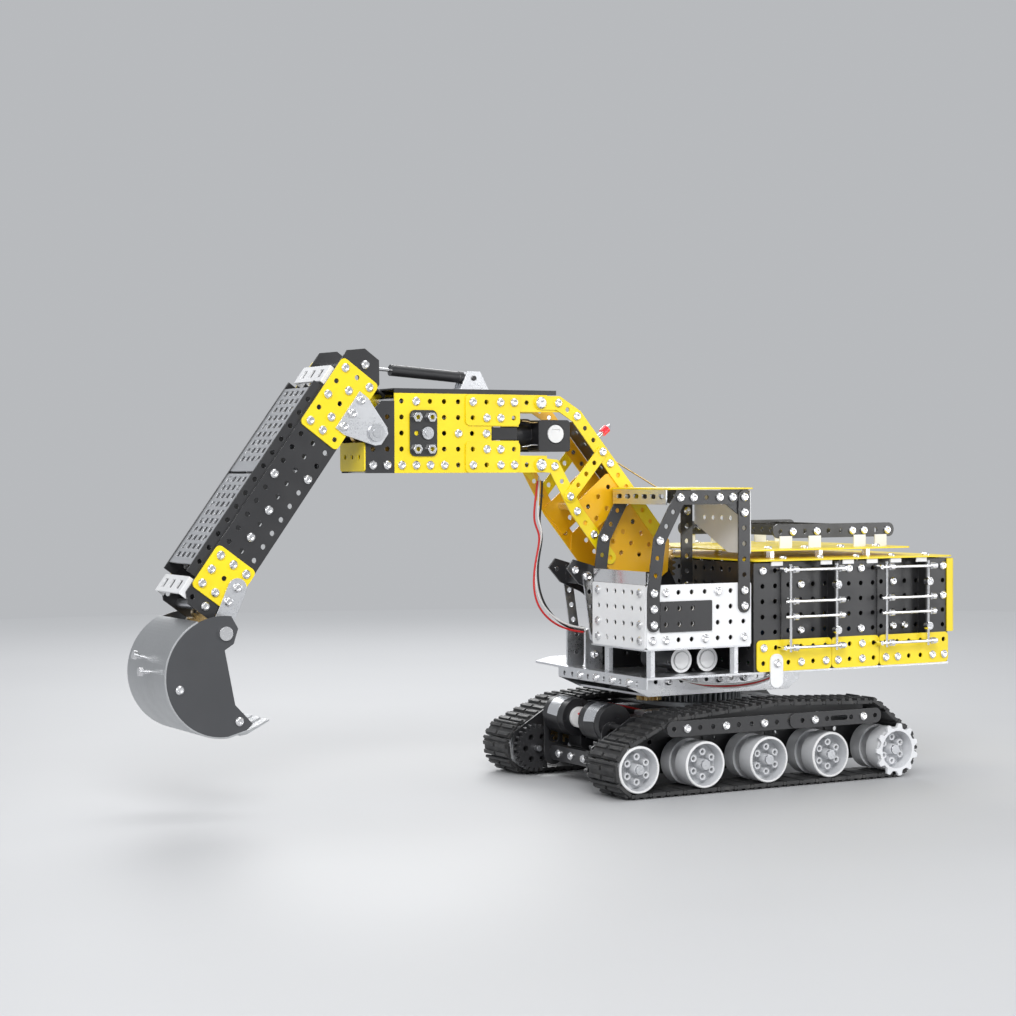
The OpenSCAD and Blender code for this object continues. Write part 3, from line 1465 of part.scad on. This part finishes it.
module stick_pivot() {
    stick_pin();
    stick_gear();
    stick_spacers();
}
module bucket_bowl() {
    bucket_shell();
    bucket_teeth();
}
module bucket_pivot() {
    bucket_pin();
    bucket_gear();
    bucket_bolts();
}

chassis();
track_rails();
axle_set();
left_track();
right_track();
drive_motors();
turntable();
chassis_screws();
left_wheel_1();
left_wheel_2();
left_wheel_3();
left_sprocket();
left_drive_wheel();
right_wheel_1();
right_wheel_2();
right_wheel_3();
right_sprocket();
right_drive_wheel();
left_drive_pinion();
right_drive_pinion();
slew_pinion();
platform_motors();
turntable_frame();
deck_plate();
pedestal();
lift_pinion();
cab_silver_parts();
cab_panels();
cab_frame();
cab_roof();
seat_and_levers();
engine_plates();
engine_yellow_panels();
engine_covers();
angle_brackets();
roof_rack();
rod_grilles();
power_and_radio();
platform_screws();
boom_side_plates();
boom_strips();
boom_black_plates();
boom_silver_parts();
stick_shaft();
elbow_motor();
boom_pivot();
beacon_and_aerial();
ram_barrel();
ram_rod();
boom_screws();
stick_black_plates();
stick_yellow_plates();
stick_silver_parts();
stick_pivot();
bucket_motor();
bucket_pinion();
stick_screws();
bucket_sides();
bucket_bowl();
bucket_pivot();
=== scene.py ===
import json
import math
import bpy
from mathutils import Matrix, Vector


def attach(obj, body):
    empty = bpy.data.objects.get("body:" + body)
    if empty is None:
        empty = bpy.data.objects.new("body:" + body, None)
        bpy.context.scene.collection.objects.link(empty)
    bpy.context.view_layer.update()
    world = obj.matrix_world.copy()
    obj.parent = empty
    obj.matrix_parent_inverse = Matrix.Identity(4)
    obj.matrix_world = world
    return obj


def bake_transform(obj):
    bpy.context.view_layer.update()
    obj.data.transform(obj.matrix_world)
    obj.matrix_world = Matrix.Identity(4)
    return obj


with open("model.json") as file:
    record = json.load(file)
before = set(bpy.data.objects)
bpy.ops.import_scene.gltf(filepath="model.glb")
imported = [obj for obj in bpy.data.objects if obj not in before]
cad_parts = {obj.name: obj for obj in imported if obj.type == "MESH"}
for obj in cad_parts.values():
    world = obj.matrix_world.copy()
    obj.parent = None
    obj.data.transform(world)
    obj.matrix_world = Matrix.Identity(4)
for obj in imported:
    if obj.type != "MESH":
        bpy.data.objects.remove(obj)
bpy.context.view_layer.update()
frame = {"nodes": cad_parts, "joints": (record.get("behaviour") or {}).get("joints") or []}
nodes = frame["nodes"]
MM = 0.001

# Pivots in mm, and the gooseneck's direction, which place what is found by position
pivot = {joint["name"]: Vector(joint["pos_m"]) / MM for joint in frame["joints"] if "pos_m" in joint}
NECK_ANGLE = math.radians(50.4)
neck_along = Vector((math.cos(NECK_ANGLE), 0, math.sin(NECK_ANGLE)))
neck_up = Vector((-math.sin(NECK_ANGLE), 0, math.cos(NECK_ANGLE)))
lamp_at = pivot["boom_lift"] + 88 * neck_along + 36 * neck_up

# Axes along Y, as x and z in mm, of round parts that no joint names
MOTOR_AXIS = (87, 42.5)
MOTOR_DISC = (57, 36)
ELBOW_AXIS = (121.5, 231)
STICK_FALL = math.radians(54)

# ---------------------------------------------------------------- material graphs


class Graph:
    """The node tree of one material, with short calls for the nodes used here."""

    def __init__(self, name):
        self.material = bpy.data.materials.new(name)
        self.material.use_nodes = True
        self.tree = self.material.node_tree
        self.shader = self.tree.nodes["Principled BSDF"]
        self.place = self.add("ShaderNodeTexCoord").outputs["Object"]

    def add(self, kind, inputs=None, **settings):
        node = self.tree.nodes.new(kind)
        for key, value in settings.items():
            setattr(node, key, value)
        for key, value in (inputs or {}).items():
            self.feed(node.inputs[key], value)
        return node

    def feed(self, socket, value):
        if isinstance(value, bpy.types.NodeSocket):
            self.tree.links.new(value, socket)
        elif isinstance(value, tuple) and len(value) == 3 and socket.type == "RGBA":
            socket.default_value = (*value, 1)
        else:
            socket.default_value = value

    def set(self, **values):
        """Feeds the shader's inputs; an underscore stands for a space."""
        for key, value in values.items():
            self.feed(self.shader.inputs[key.replace("_", " ")], value)

    def noise(self, size_mm, stretch=(1, 1, 1), detail=3.0):
        """Noise whose features are about size_mm wide, stretched along an axis."""
        scale = tuple(1 / (size_mm * MM * s) for s in stretch)
        at = self.add("ShaderNodeMapping", {"Vector": self.place, "Scale": scale})
        return self.add("ShaderNodeTexNoise",
                        {"Vector": at.outputs[0], "Scale": 1.0, "Detail": detail}).outputs["Fac"]

    def ramp(self, value, low, high, to_low=0.0, to_high=1.0):
        node = self.add("ShaderNodeMapRange", {"Value": value, "From Min": low, "From Max": high,
                                               "To Min": to_low, "To Max": to_high})
        return node.outputs[0]

    def math(self, operation, a, b):
        return self.add("ShaderNodeMath", {0: a, 1: b}, operation=operation).outputs[0]

    def mix(self, factor, a, b):
        return self.add("ShaderNodeMixRGB", {"Fac": factor, "Color1": a, "Color2": b}).outputs[0]

    def rounded(self, radius_mm):
        """Normal that rounds the edges, and a mask of those edges."""
        bevel = self.add("ShaderNodeBevel", {"Radius": radius_mm * MM}, samples=4).outputs[0]
        true = self.add("ShaderNodeNewGeometry").outputs["Normal"]
        dot = self.add("ShaderNodeVectorMath", {0: bevel, 1: true}, operation="DOT_PRODUCT")
        return bevel, self.ramp(dot.outputs["Value"], 0.985, 0.8)

    def bump(self, height, depth_mm, normal, strength=1.0):
        return self.add("ShaderNodeBump", {"Height": height, "Distance": depth_mm * MM,
                                           "Strength": strength, "Normal": normal}).outputs[0]


def painted_plate(name, colour, rough=0.36, worn=(0.55, 0.54, 0.52), wear=0.5, coat=0.25):
    """Powder-coated sheet: orange-peel surface, uneven tone, handling marks and thin worn edges."""
    g = Graph(name)
    round_normal, edge = g.rounded(0.35)
    tone = g.ramp(g.noise(38), 0.3, 0.7)
    smudge = g.ramp(g.noise(14, detail=6.0), 0.45, 0.75)
    dark = tuple(c * 0.86 for c in colour)
    paint = g.mix(tone, dark, colour)
    chips = g.math("MULTIPLY", edge, g.ramp(g.noise(2.2, detail=5.0), 0.5, 0.66, 0.0, wear))
    scratch = g.ramp(g.noise(0.5, (1, 30, 1), 2.0), 0.74, 0.8, 0.0, 0.25)
    bare = g.math("MAXIMUM", chips, g.math("MULTIPLY", scratch, smudge))
    g.set(Base_Color=g.mix(bare, paint, worn), Metallic=g.math("MULTIPLY", bare, 0.9),
          Roughness=g.ramp(smudge, 0.0, 1.0, rough, rough + 0.16),
          Coat_Weight=coat, Coat_Roughness=0.2,
          Normal=g.bump(g.noise(0.9, detail=1.0), 0.02, round_normal, 0.5))
    return g.material


def metal(name, colour, rough=0.28, grain=(1, 26, 1), size_mm=0.7, radius_mm=0.3, tarnish=0.2):
    """Plated or brushed metal with a directional grain and slight tarnish."""
    g = Graph(name)
    round_normal, edge = g.rounded(radius_mm)
    brushed = g.noise(size_mm, grain, 4.0)
    patch = g.ramp(g.noise(20, detail=5.0), 0.4, 0.75, 0.0, tarnish)
    dull = tuple(c * 0.72 for c in colour)
    bright = tuple(min(1, c * 1.12) for c in colour)
    base = g.mix(patch, g.mix(edge, colour, bright), dull)
    g.set(Base_Color=base, Metallic=1.0,
          Roughness=g.math("ADD", g.ramp(brushed, 0.3, 0.7, rough - 0.07, rough + 0.09),
                           g.math("MULTIPLY", patch, 0.4)),
          Normal=g.bump(brushed, 0.012, round_normal, 0.35))
    return g.material


def plastic(name, colour, rough=0.42, texture_mm=0.6, depth_mm=0.03, dust=0.0, radius_mm=0.4):
    """Moulded plastic with a fine spark-eroded texture, and dust where it is asked for."""
    g = Graph(name)
    round_normal, edge = g.rounded(radius_mm)
    tone = g.ramp(g.noise(25), 0.3, 0.7)
    base = g.mix(tone, tuple(c * 0.85 for c in colour), colour)
    rubbed = g.mix(g.math("MULTIPLY", edge, 0.35), base, tuple(min(1, c * 1.6 + 0.03) for c in colour))
    powder = g.ramp(g.noise(6, detail=6.0), 0.5, 0.8, 0.0, dust)
    g.set(Base_Color=g.mix(powder, rubbed, (0.4, 0.38, 0.35)),
          Roughness=g.ramp(g.noise(9), 0.3, 0.7, rough - 0.06, rough + 0.1),
          Normal=g.bump(g.noise(texture_mm, detail=2.0), depth_mm, round_normal, 0.6))
    return g.material


def clear_red(name):
    """Tinted moulded lens of the lamp, lit faintly from inside."""
    g = Graph(name)
    round_normal, edge = g.rounded(0.5)
    glow = g.ramp(g.noise(3), 0.3, 0.7, 0.25, 0.6)
    g.set(Base_Color=g.mix(edge, (0.75, 0.01, 0.03), (1.0, 0.25, 0.25)), Roughness=0.08,
          Transmission_Weight=0.35, Emission_Color=(1.0, 0.05, 0.06), Emission_Strength=glow,
          Coat_Weight=1.0, Normal=round_normal)
    return g.material


yellow = painted_plate("yellow_paint", (0.98, 0.75, 0.004))
# Deeper orange copy of the yellow paint: painted shade on the inner boom strips
orange = painted_plate("yellow_paint_painted_shade", (0.97, 0.52, 0.006))
black = painted_plate("black_paint", (0.022, 0.022, 0.024), rough=0.34, wear=0.6, coat=0.35)
dark_grey = painted_plate("dark_grey_paint", (0.055, 0.057, 0.062), rough=0.38, wear=0.5)
white = painted_plate("white_paint", (0.88, 0.885, 0.895), rough=0.3, worn=(0.5, 0.5, 0.5), wear=0.3)
bowl_grey = metal("bucket_sheet", (0.52, 0.53, 0.54), 0.42, (1, 1, 20), 0.8)
nickel = metal("nickel_screws", (0.83, 0.83, 0.84), 0.2, (1, 1, 1), 0.6, 0.25, 0.12)
silver = metal("plated_sheet", (0.74, 0.75, 0.77), 0.3)
mesh_silver = metal("perforated_cover", (0.7, 0.71, 0.73), 0.42)
steel = metal("turned_steel", (0.6, 0.61, 0.63), 0.3, (1, 1, 1), 0.5)
dark_steel = metal("dark_steel", (0.25, 0.26, 0.27), 0.4)
chrome = metal("chrome_rod", (0.88, 0.88, 0.89), 0.12, (20, 1, 1), 0.5, 0.2, 0.06)
brass = metal("brass_gear", (0.72, 0.52, 0.24), 0.28, (1, 1, 1), 0.5)
track_black = plastic("track_plastic", (0.03, 0.03, 0.031), 0.5, 0.7, 0.05, dust=0.1)
motor_black = plastic("motor_plastic", (0.014, 0.014, 0.016), 0.32, 0.5, 0.02, radius_mm=0.6)
gear_black = plastic("gear_plastic", (0.03, 0.03, 0.032), 0.35)
wheel_grey = plastic("wheel_plastic", (0.64, 0.65, 0.67), 0.35, 0.8, 0.015, dust=0.08)
sprocket_grey = plastic("sprocket_plastic", (0.8, 0.81, 0.83), 0.3, 0.8, 0.015, dust=0.05)
# White plastic of the discs, also laid on the wheels' outer rims as a painted highlight
white_disc_and_rim_highlight = plastic("disc_and_rim_highlight_plastic", (0.85, 0.85, 0.85), 0.35)
seat_black = plastic("seat_cover", (0.03, 0.03, 0.032), 0.6, 1.4, 0.15)
cell_blue = plastic("cell_sleeve", (0.02, 0.09, 0.25), 0.25, 3.0, 0.02)
board_green = plastic("circuit_board", (0.01, 0.12, 0.04), 0.3, 1.2, 0.08)
lens_red = clear_red("lamp_lens")
wire_white = plastic("wire_white", (0.8, 0.8, 0.78), 0.4)
wire_red = plastic("wire_red", (0.6, 0.02, 0.02), 0.4)
wire_black = plastic("wire_black", (0.015, 0.015, 0.015), 0.4)

# ---------------------------------------------------------------- finishes of the CAD nodes


def finish_node(name, base, *zones):
    """Gives a CAD node its material; each zone is a material and a test of a face's centre in mm."""
    mesh = nodes[name].data
    mesh.materials.clear()
    mesh.materials.append(base)
    for material, _ in zones:
        mesh.materials.append(material)
    for face in mesh.polygons:
        centre = face.center / MM
        face.material_index = next((i + 1 for i, (_, test) in enumerate(zones) if test(centre)), 0)


def near(x, z, radius):
    """Test: the face lies within radius of a line along Y through x, z."""
    return lambda c: math.hypot(c.x - x, c.z - z) < radius


plain = {
    black: ["chassis", "track_rails", "cab_frame", "engine_plates", "roof_rack",
            "boom_black_plates", "stick_black_plates", "ram_barrel"],
    track_black: ["left_track", "right_track"],
    yellow: ["cab_roof", "engine_yellow_panels", "engine_covers", "boom_side_plates", "stick_yellow_plates"],
    white: ["cab_panels", "angle_brackets"],
    silver: ["deck_plate", "boom_silver_parts", "turntable_frame"],
    nickel: ["chassis_screws", "platform_screws", "stick_screws"],
    steel: ["axle_set", "stick_shaft"],
    dark_steel: ["turntable"],
    chrome: ["rod_grilles", "ram_rod"],
    brass: ["left_drive_pinion", "right_drive_pinion", "slew_pinion", "lift_pinion", "bucket_pinion"],
    motor_black: ["bucket_motor", "elbow_motor"],
}
for material, names in plain.items():
    for name in names:
        finish_node(name, material)


def rim_painted_highlight(c):
    """Test: the face is on the flat outer edge of a wheel, coloured white as a painted highlight on the
    light grey plastic.
    """
    return abs(c.y) > 85.1


def drive_gear(c):
    """Test: the face is on the gear moulded behind a drive wheel."""
    return abs(c.y) < 50


def motor_painted_reflection(c):
    """Test: the face is on the silver patch over the upper front of a drive motor, a painted reflection on
    the black casing.
    """
    x, z = c.x - MOTOR_AXIS[0], c.z - MOTOR_AXIS[1]
    return math.hypot(x, z) > 12.65 and 16 < abs(c.y) < 31 and 5 < math.degrees(math.atan2(z, x)) < 80


def motor_cap(c):
    """Test: the face is on the pale cap at the inner end of a drive motor."""
    return abs(c.y) < 10.05 and near(*MOTOR_AXIS, 7.1)(c)


def motor_disc(c):
    """Test: the face is on the pale slotted disc of a drive motor's gearbox."""
    return abs(c.y) < 12.05 and near(*MOTOR_DISC, 6.1)(c)


def motor_bracket(c):
    """Test: the face is on the plated bracket that holds a gearbox to the cross member."""
    return c.z > 45.2 and c.x < 58.2


def pedestal_strut(c):
    """Test: the face is on the bare struts and feet in front of the pedestal."""
    return abs(c.y) > 12.51 or (c.x > 81.9 and c.z < 103.1)


def deck_disc(c):
    """Test: the face is on a pale disc of the two small motors under the cab."""
    return c.y > 68.9 and c.z < 95


def dashboard_edge(c):
    """Test: the face is on the dark lower edge of the dashboard."""
    return c.x > 84 and 134.5 < c.z < 137.4


def dashboard_top(c):
    """Test: the face is on the bright upper part of the dashboard."""
    return c.x > 84 and 137.4 <= c.z < 146


def strip_painted_shade(c):
    """Test: the face is on an inner strip near the boom's foot, coloured deeper orange as painted shade."""
    return c.x < 118 and abs(c.y) < 17.6


def battery_cell(c):
    """Test: the face is on one of the sleeved battery cells."""
    return c.x < -60 and c.z > 81.3


def radio_board(c):
    """Test: the face is on the receiver's circuit board."""
    return c.x > -55 and c.z < 78.6


# The outer rim of each wheel is coloured white as a painted highlight
for side in ("left", "right"):
    for i in (1, 2, 3):
        finish_node(f"{side}_wheel_{i}", wheel_grey, (white_disc_and_rim_highlight, rim_painted_highlight))
    finish_node(f"{side}_sprocket", sprocket_grey)
    axle = pivot[f"{side}_drive"]
    finish_node(f"{side}_drive_wheel", wheel_grey, (steel, near(axle.x, axle.z, 3.1)),
                (gear_black, drive_gear), (white_disc_and_rim_highlight, rim_painted_highlight))
# The silver patch over each motor's upper front is a painted reflection
finish_node("drive_motors", motor_black,
            (white_disc_and_rim_highlight, motor_disc), (white_disc_and_rim_highlight, motor_cap), (silver, motor_painted_reflection),
            (silver, motor_bracket))
finish_node("pedestal", black, (silver, pedestal_strut))
finish_node("bucket_sides", dark_grey)
finish_node("bucket_bowl", bowl_grey)
# The inner strips near the boom's foot take the orange copy as painted shade
finish_node("boom_strips", yellow, (orange, strip_painted_shade))
finish_node("boom_screws", nickel, (white_disc_and_rim_highlight, near(*ELBOW_AXIS, 6)))
finish_node("platform_motors", motor_black, (white_disc_and_rim_highlight, deck_disc))
finish_node("cab_silver_parts", silver, (dark_grey, dashboard_edge), (chrome, dashboard_top))
finish_node("seat_and_levers", seat_black)
finish_node("power_and_radio", motor_black, (cell_blue, battery_cell), (board_green, radio_board))


def on_stick(c):
    """Place of a point along the stick and across it, from the stick's pivot."""
    d = c - pivot["stick_hinge"]
    along, across = math.cos(STICK_FALL), math.sin(STICK_FALL)
    return d.x * along - d.z * across, d.x * across + d.z * along


def end_bracket(c):
    """Test: the face is on one of the stick's two white end brackets."""
    u, v = on_stick(c)
    return 41.9 < v < 48.3 and (u < -3.9 or u > 140.9)


def ram_bracket(c):
    """Test: the face is on the plated plates outside the stick's sides."""
    return abs(c.y) > 21.7


finish_node("stick_silver_parts", mesh_silver, (white, end_bracket), (silver, ram_bracket))


PIN_RADIUS = 3.06


def gear_about(joint, radius, low, high):
    """Test: the face is on the gear about a joint, between two places along its axis."""
    at = pivot[joint]
    return lambda c: low < c.y < high and PIN_RADIUS < math.hypot(c.x - at.x, c.z - at.z) < radius


finish_node("boom_pivot", steel, (brass, gear_about("boom_lift", 25, 1.9, 7.1)))
finish_node("stick_pivot", steel, (brass, gear_about("stick_hinge", 25, -2.1, 2.1)))
finish_node("bucket_pivot", nickel, (brass, gear_about("bucket_hinge", 14, -1.1, 3.1)))


def lamp_lens(c):
    """Test: the face is on the lamp's lens."""
    return (c - lamp_at).length < 3.8 and abs((c - lamp_at).dot(neck_up)) < 2.45


def lamp_stem(c):
    """Test: the face is on the lamp's plated socket and stem."""
    return abs((c - lamp_at).dot(neck_along)) < 2.6 and abs(c.y) < 2.6


finish_node("beacon_and_aerial", brass, (lens_red, lamp_lens), (chrome, lamp_stem))

# ---------------------------------------------------------------- small bent parts


def bent_tab(name, path, across, width, thick, material, body):
    """Strip of sheet bent along a path in mm, with eased edges; across is the direction of its width."""
    across = Vector(across).normalized()
    points = [Vector(p) for p in path]
    ease = thick * 0.3
    ring = [(-width / 2 + ease, -0.5), (width / 2 - ease, -0.5), (width / 2, -0.2), (width / 2, 0.2),
            (width / 2 - ease, 0.5), (-width / 2 + ease, 0.5), (-width / 2, 0.2), (-width / 2, -0.2)]
    corners, faces = [], []
    for i, at in enumerate(points):
        ahead = points[min(i + 1, len(points) - 1)] - points[max(i - 1, 0)]
        up = ahead.cross(across).normalized()
        corners += [(at + across * u + up * v * thick) * MM for u, v in ring]
    count = len(ring)
    for i in range(len(points) - 1):
        for k in range(count):
            a, b = i * count + k, i * count + (k + 1) % count
            faces.append((a, b, b + count, a + count))
    faces.append(tuple(range(count - 1, -1, -1)))
    faces.append(tuple(range(len(corners) - count, len(corners))))
    mesh = bpy.data.meshes.new(name)
    mesh.from_pydata([tuple(c) for c in corners], [], faces)
    mesh.materials.append(material)
    piece = bpy.data.objects.new(name, mesh)
    bpy.context.scene.collection.objects.link(piece)
    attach(piece, body)


# Brass and plated terminal tabs of the elbow motor
for s, tag in ((1, "near"), (-1, "far")):
    for k, (z, lift, material) in enumerate([(238.2, 1, brass), (223.8, -1, silver)]):
        path = [(133, s * 14.8, z), (139, s * 14.8, z), (141, s * 14.4, z + lift * 0.8),
                (144.5, s * 13, z + lift * 1.2)]
        bent_tab(f"elbow_{tag}_tab_{k + 1}", path, (0, 1, 0), 6, 0.6, material, "boom")

# ---------------------------------------------------------------- cables


def cable(name, points, radius, material, body, other=None):
    """Soft wire through points in mm, attached to the body; when a second body is named, it is left in
    place, attached to neither.
    """
    curve = bpy.data.curves.new(name, "CURVE")
    curve.dimensions = "3D"
    curve.bevel_depth = radius * MM
    curve.bevel_resolution = 3
    spline = curve.splines.new("NURBS")
    spline.points.add(len(points) - 1)
    for point, at in zip(spline.points, points):
        point.co = (at[0] * MM, at[1] * MM, at[2] * MM, 1)
    spline.use_endpoint_u = True
    spline.order_u = 4
    spline.resolution_u = 6
    curve.use_fill_caps = True
    source = bpy.data.objects.new(name + "_path", curve)
    bpy.context.scene.collection.objects.link(source)
    mesh = bpy.data.meshes.new_from_object(source.evaluated_get(bpy.context.evaluated_depsgraph_get()))
    bpy.data.objects.remove(source)
    piece = bpy.data.objects.new(name, mesh)
    bpy.context.scene.collection.objects.link(piece)
    mesh.materials.clear()
    mesh.materials.append(material)
    mesh.shade_smooth()
    if other:
        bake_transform(piece)
    else:
        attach(piece, body)


# Loop of three thin wires from the deck to the boom, in front of the cab
loop = [(124, 2, 203), (125, 2, 188), (127, 2, 175), (121, 3, 168), (127, 3, 149), (128, 4, 129),
        (120, 4, 114), (106, 5, 105), (92, 5, 103)]
for i, (material, sway) in enumerate([(wire_white, 0), (wire_red, 2.4), (wire_black, -2.4)]):
    path = [(x + sway * (1 + 0.5 * math.sin(1.3 * k)), y + sway * 0.5 + 1.2 * math.sin(k + i), z - abs(sway))
            for k, (x, y, z) in enumerate(loop)]
    cable(f"arm_cable_{i + 1}", path, 0.7, material, "platform", "boom")

# Motor leads, from each drive motor through the cross member and up the hollow spindle
for side, s in (("left", 1), ("right", -1)):
    for lead, (material, shift) in enumerate([(wire_red, 0.7), (wire_black, -0.7)]):
        path = [(87 + 3 * shift, 7.6, 44), (83, 5.5, 47), (72, 4.5, 52), (60, 6, 49), (44, 9, 44.5),
                (31.5, 10, 43), (18, 7, 43), (5, 2.5, 44), (0.8, 1.6, 50), (0.6, 1.6, 58)]
        cable(f"{side}_motor_lead_{lead + 1}", [(x, s * y + shift * 0.4, z + shift) for x, y, z in path],
              0.6, material, "chassis")

# Wires slung under the deck's edge, and the lead that crosses the elbow to the stick
under_deck = [(60, 62, 74), (48, 64, 69.5), (30, 66, 67.5), (8, 66, 67), (-14, 64, 69), (-30, 58, 74)]
for i, (material, drop) in enumerate([(wire_white, 0), (wire_red, 1.6), (wire_white, 3.0)]):
    cable(f"deck_wire_{i + 1}", [(x - 3 * i, y - 2 * i, z - drop * math.sin(math.pi * k / 5))
                                 for k, (x, y, z) in enumerate(under_deck)], 0.6, material, "platform")

elbow_loop = [(240, 9, 254), (250, 11, 262), (262, 12, 262), (272, 12, 250), (281, 11, 235), (286, 9, 222)]
cable("stick_cable", elbow_loop, 1.1, wire_black, "boom", "stick")

# ---------------------------------------------------------------- stage, light and camera


SKY = (0.80, 0.82, 0.85)
SKY_STRENGTH = 0.6


def stage_floor():
    mesh = bpy.data.meshes.new("floor")
    reach = 12.0
    mesh.from_pydata([(-reach, -reach, 0), (reach, -reach, 0), (reach, reach, 0), (-reach, reach, 0)],
                     [], [(0, 1, 2, 3)])
    floor = bpy.data.objects.new("floor", mesh)
    bpy.context.scene.collection.objects.link(floor)
    g = Graph("pale_floor")
    away = g.add("ShaderNodeVectorMath", {0: g.place}, operation="LENGTH").outputs["Value"]
    far = g.ramp(away, 0.5, 1.8)
    cloth = g.mix(g.noise(300), (0.5, 0.505, 0.515), (0.54, 0.545, 0.555))
    g.set(Base_Color=g.mix(far, cloth, (0, 0, 0)), Roughness=0.6, Emission_Color=SKY,
          Specular_IOR_Level=g.ramp(far, 0.0, 1.0, 0.5, 0.0),
          Emission_Strength=g.math("MULTIPLY", far, SKY_STRENGTH))
    mesh.materials.append(g.material)


def area_light(name, at, aim, size, power, colour=(1, 1, 1)):
    light = bpy.data.lights.new(name, "AREA")
    light.shape = "RECTANGLE"
    light.size, light.size_y = size
    light.energy = power
    light.color = colour
    lamp = bpy.data.objects.new(name, light)
    bpy.context.scene.collection.objects.link(lamp)
    lamp.location = at
    lamp.rotation_euler = (Vector(aim) - Vector(at)).to_track_quat("-Z", "Y").to_euler()


def studio():
    world = bpy.data.worlds.new("studio")
    world.use_nodes = True
    world.node_tree.nodes["Background"].inputs["Color"].default_value = (*SKY, 1)
    world.node_tree.nodes["Background"].inputs["Strength"].default_value = SKY_STRENGTH
    bpy.context.scene.world = world
    middle = (0.1, 0, 0.13)
    area_light("key", (0.9, 1.5, 1.2), middle, (0.9, 0.7), 22)
    area_light("fill", (-1.2, 1.3, 0.5), middle, (0.8, 0.8), 9)
    area_light("front", (1.5, 0.7, 0.5), middle, (0.7, 0.7), 3)
    area_light("top", (0.0, -0.2, 1.5), middle, (1.2, 1.2), 8)
    area_light("rim", (-0.4, -1.4, 0.8), middle, (1.0, 0.5), 9)
    bpy.context.scene.view_settings.view_transform = "Standard"
    bpy.context.scene.view_settings.look = "None"


def camera():
    """Camera at eye level, seen from the front left of the machine."""
    heading, drop, roll = math.radians(29.27), math.radians(1.01), math.radians(-0.16)
    lens = bpy.data.cameras.new("camera")
    lens.lens = 78.5
    lens.sensor_width = 36
    eye = bpy.data.objects.new("camera", lens)
    bpy.context.scene.collection.objects.link(eye)
    level = math.cos(drop)
    forward = Vector((-math.sin(heading) * level, -math.cos(heading) * level, -math.sin(drop)))
    turn = forward.to_track_quat("-Z", "Y").to_matrix().to_4x4() @ Matrix.Rotation(roll, 4, "Z")
    eye.matrix_world = Matrix.Translation((0.8506, 1.2567, 0.2084)) @ turn
    bpy.context.scene.camera = eye


stage_floor()
studio()
camera()
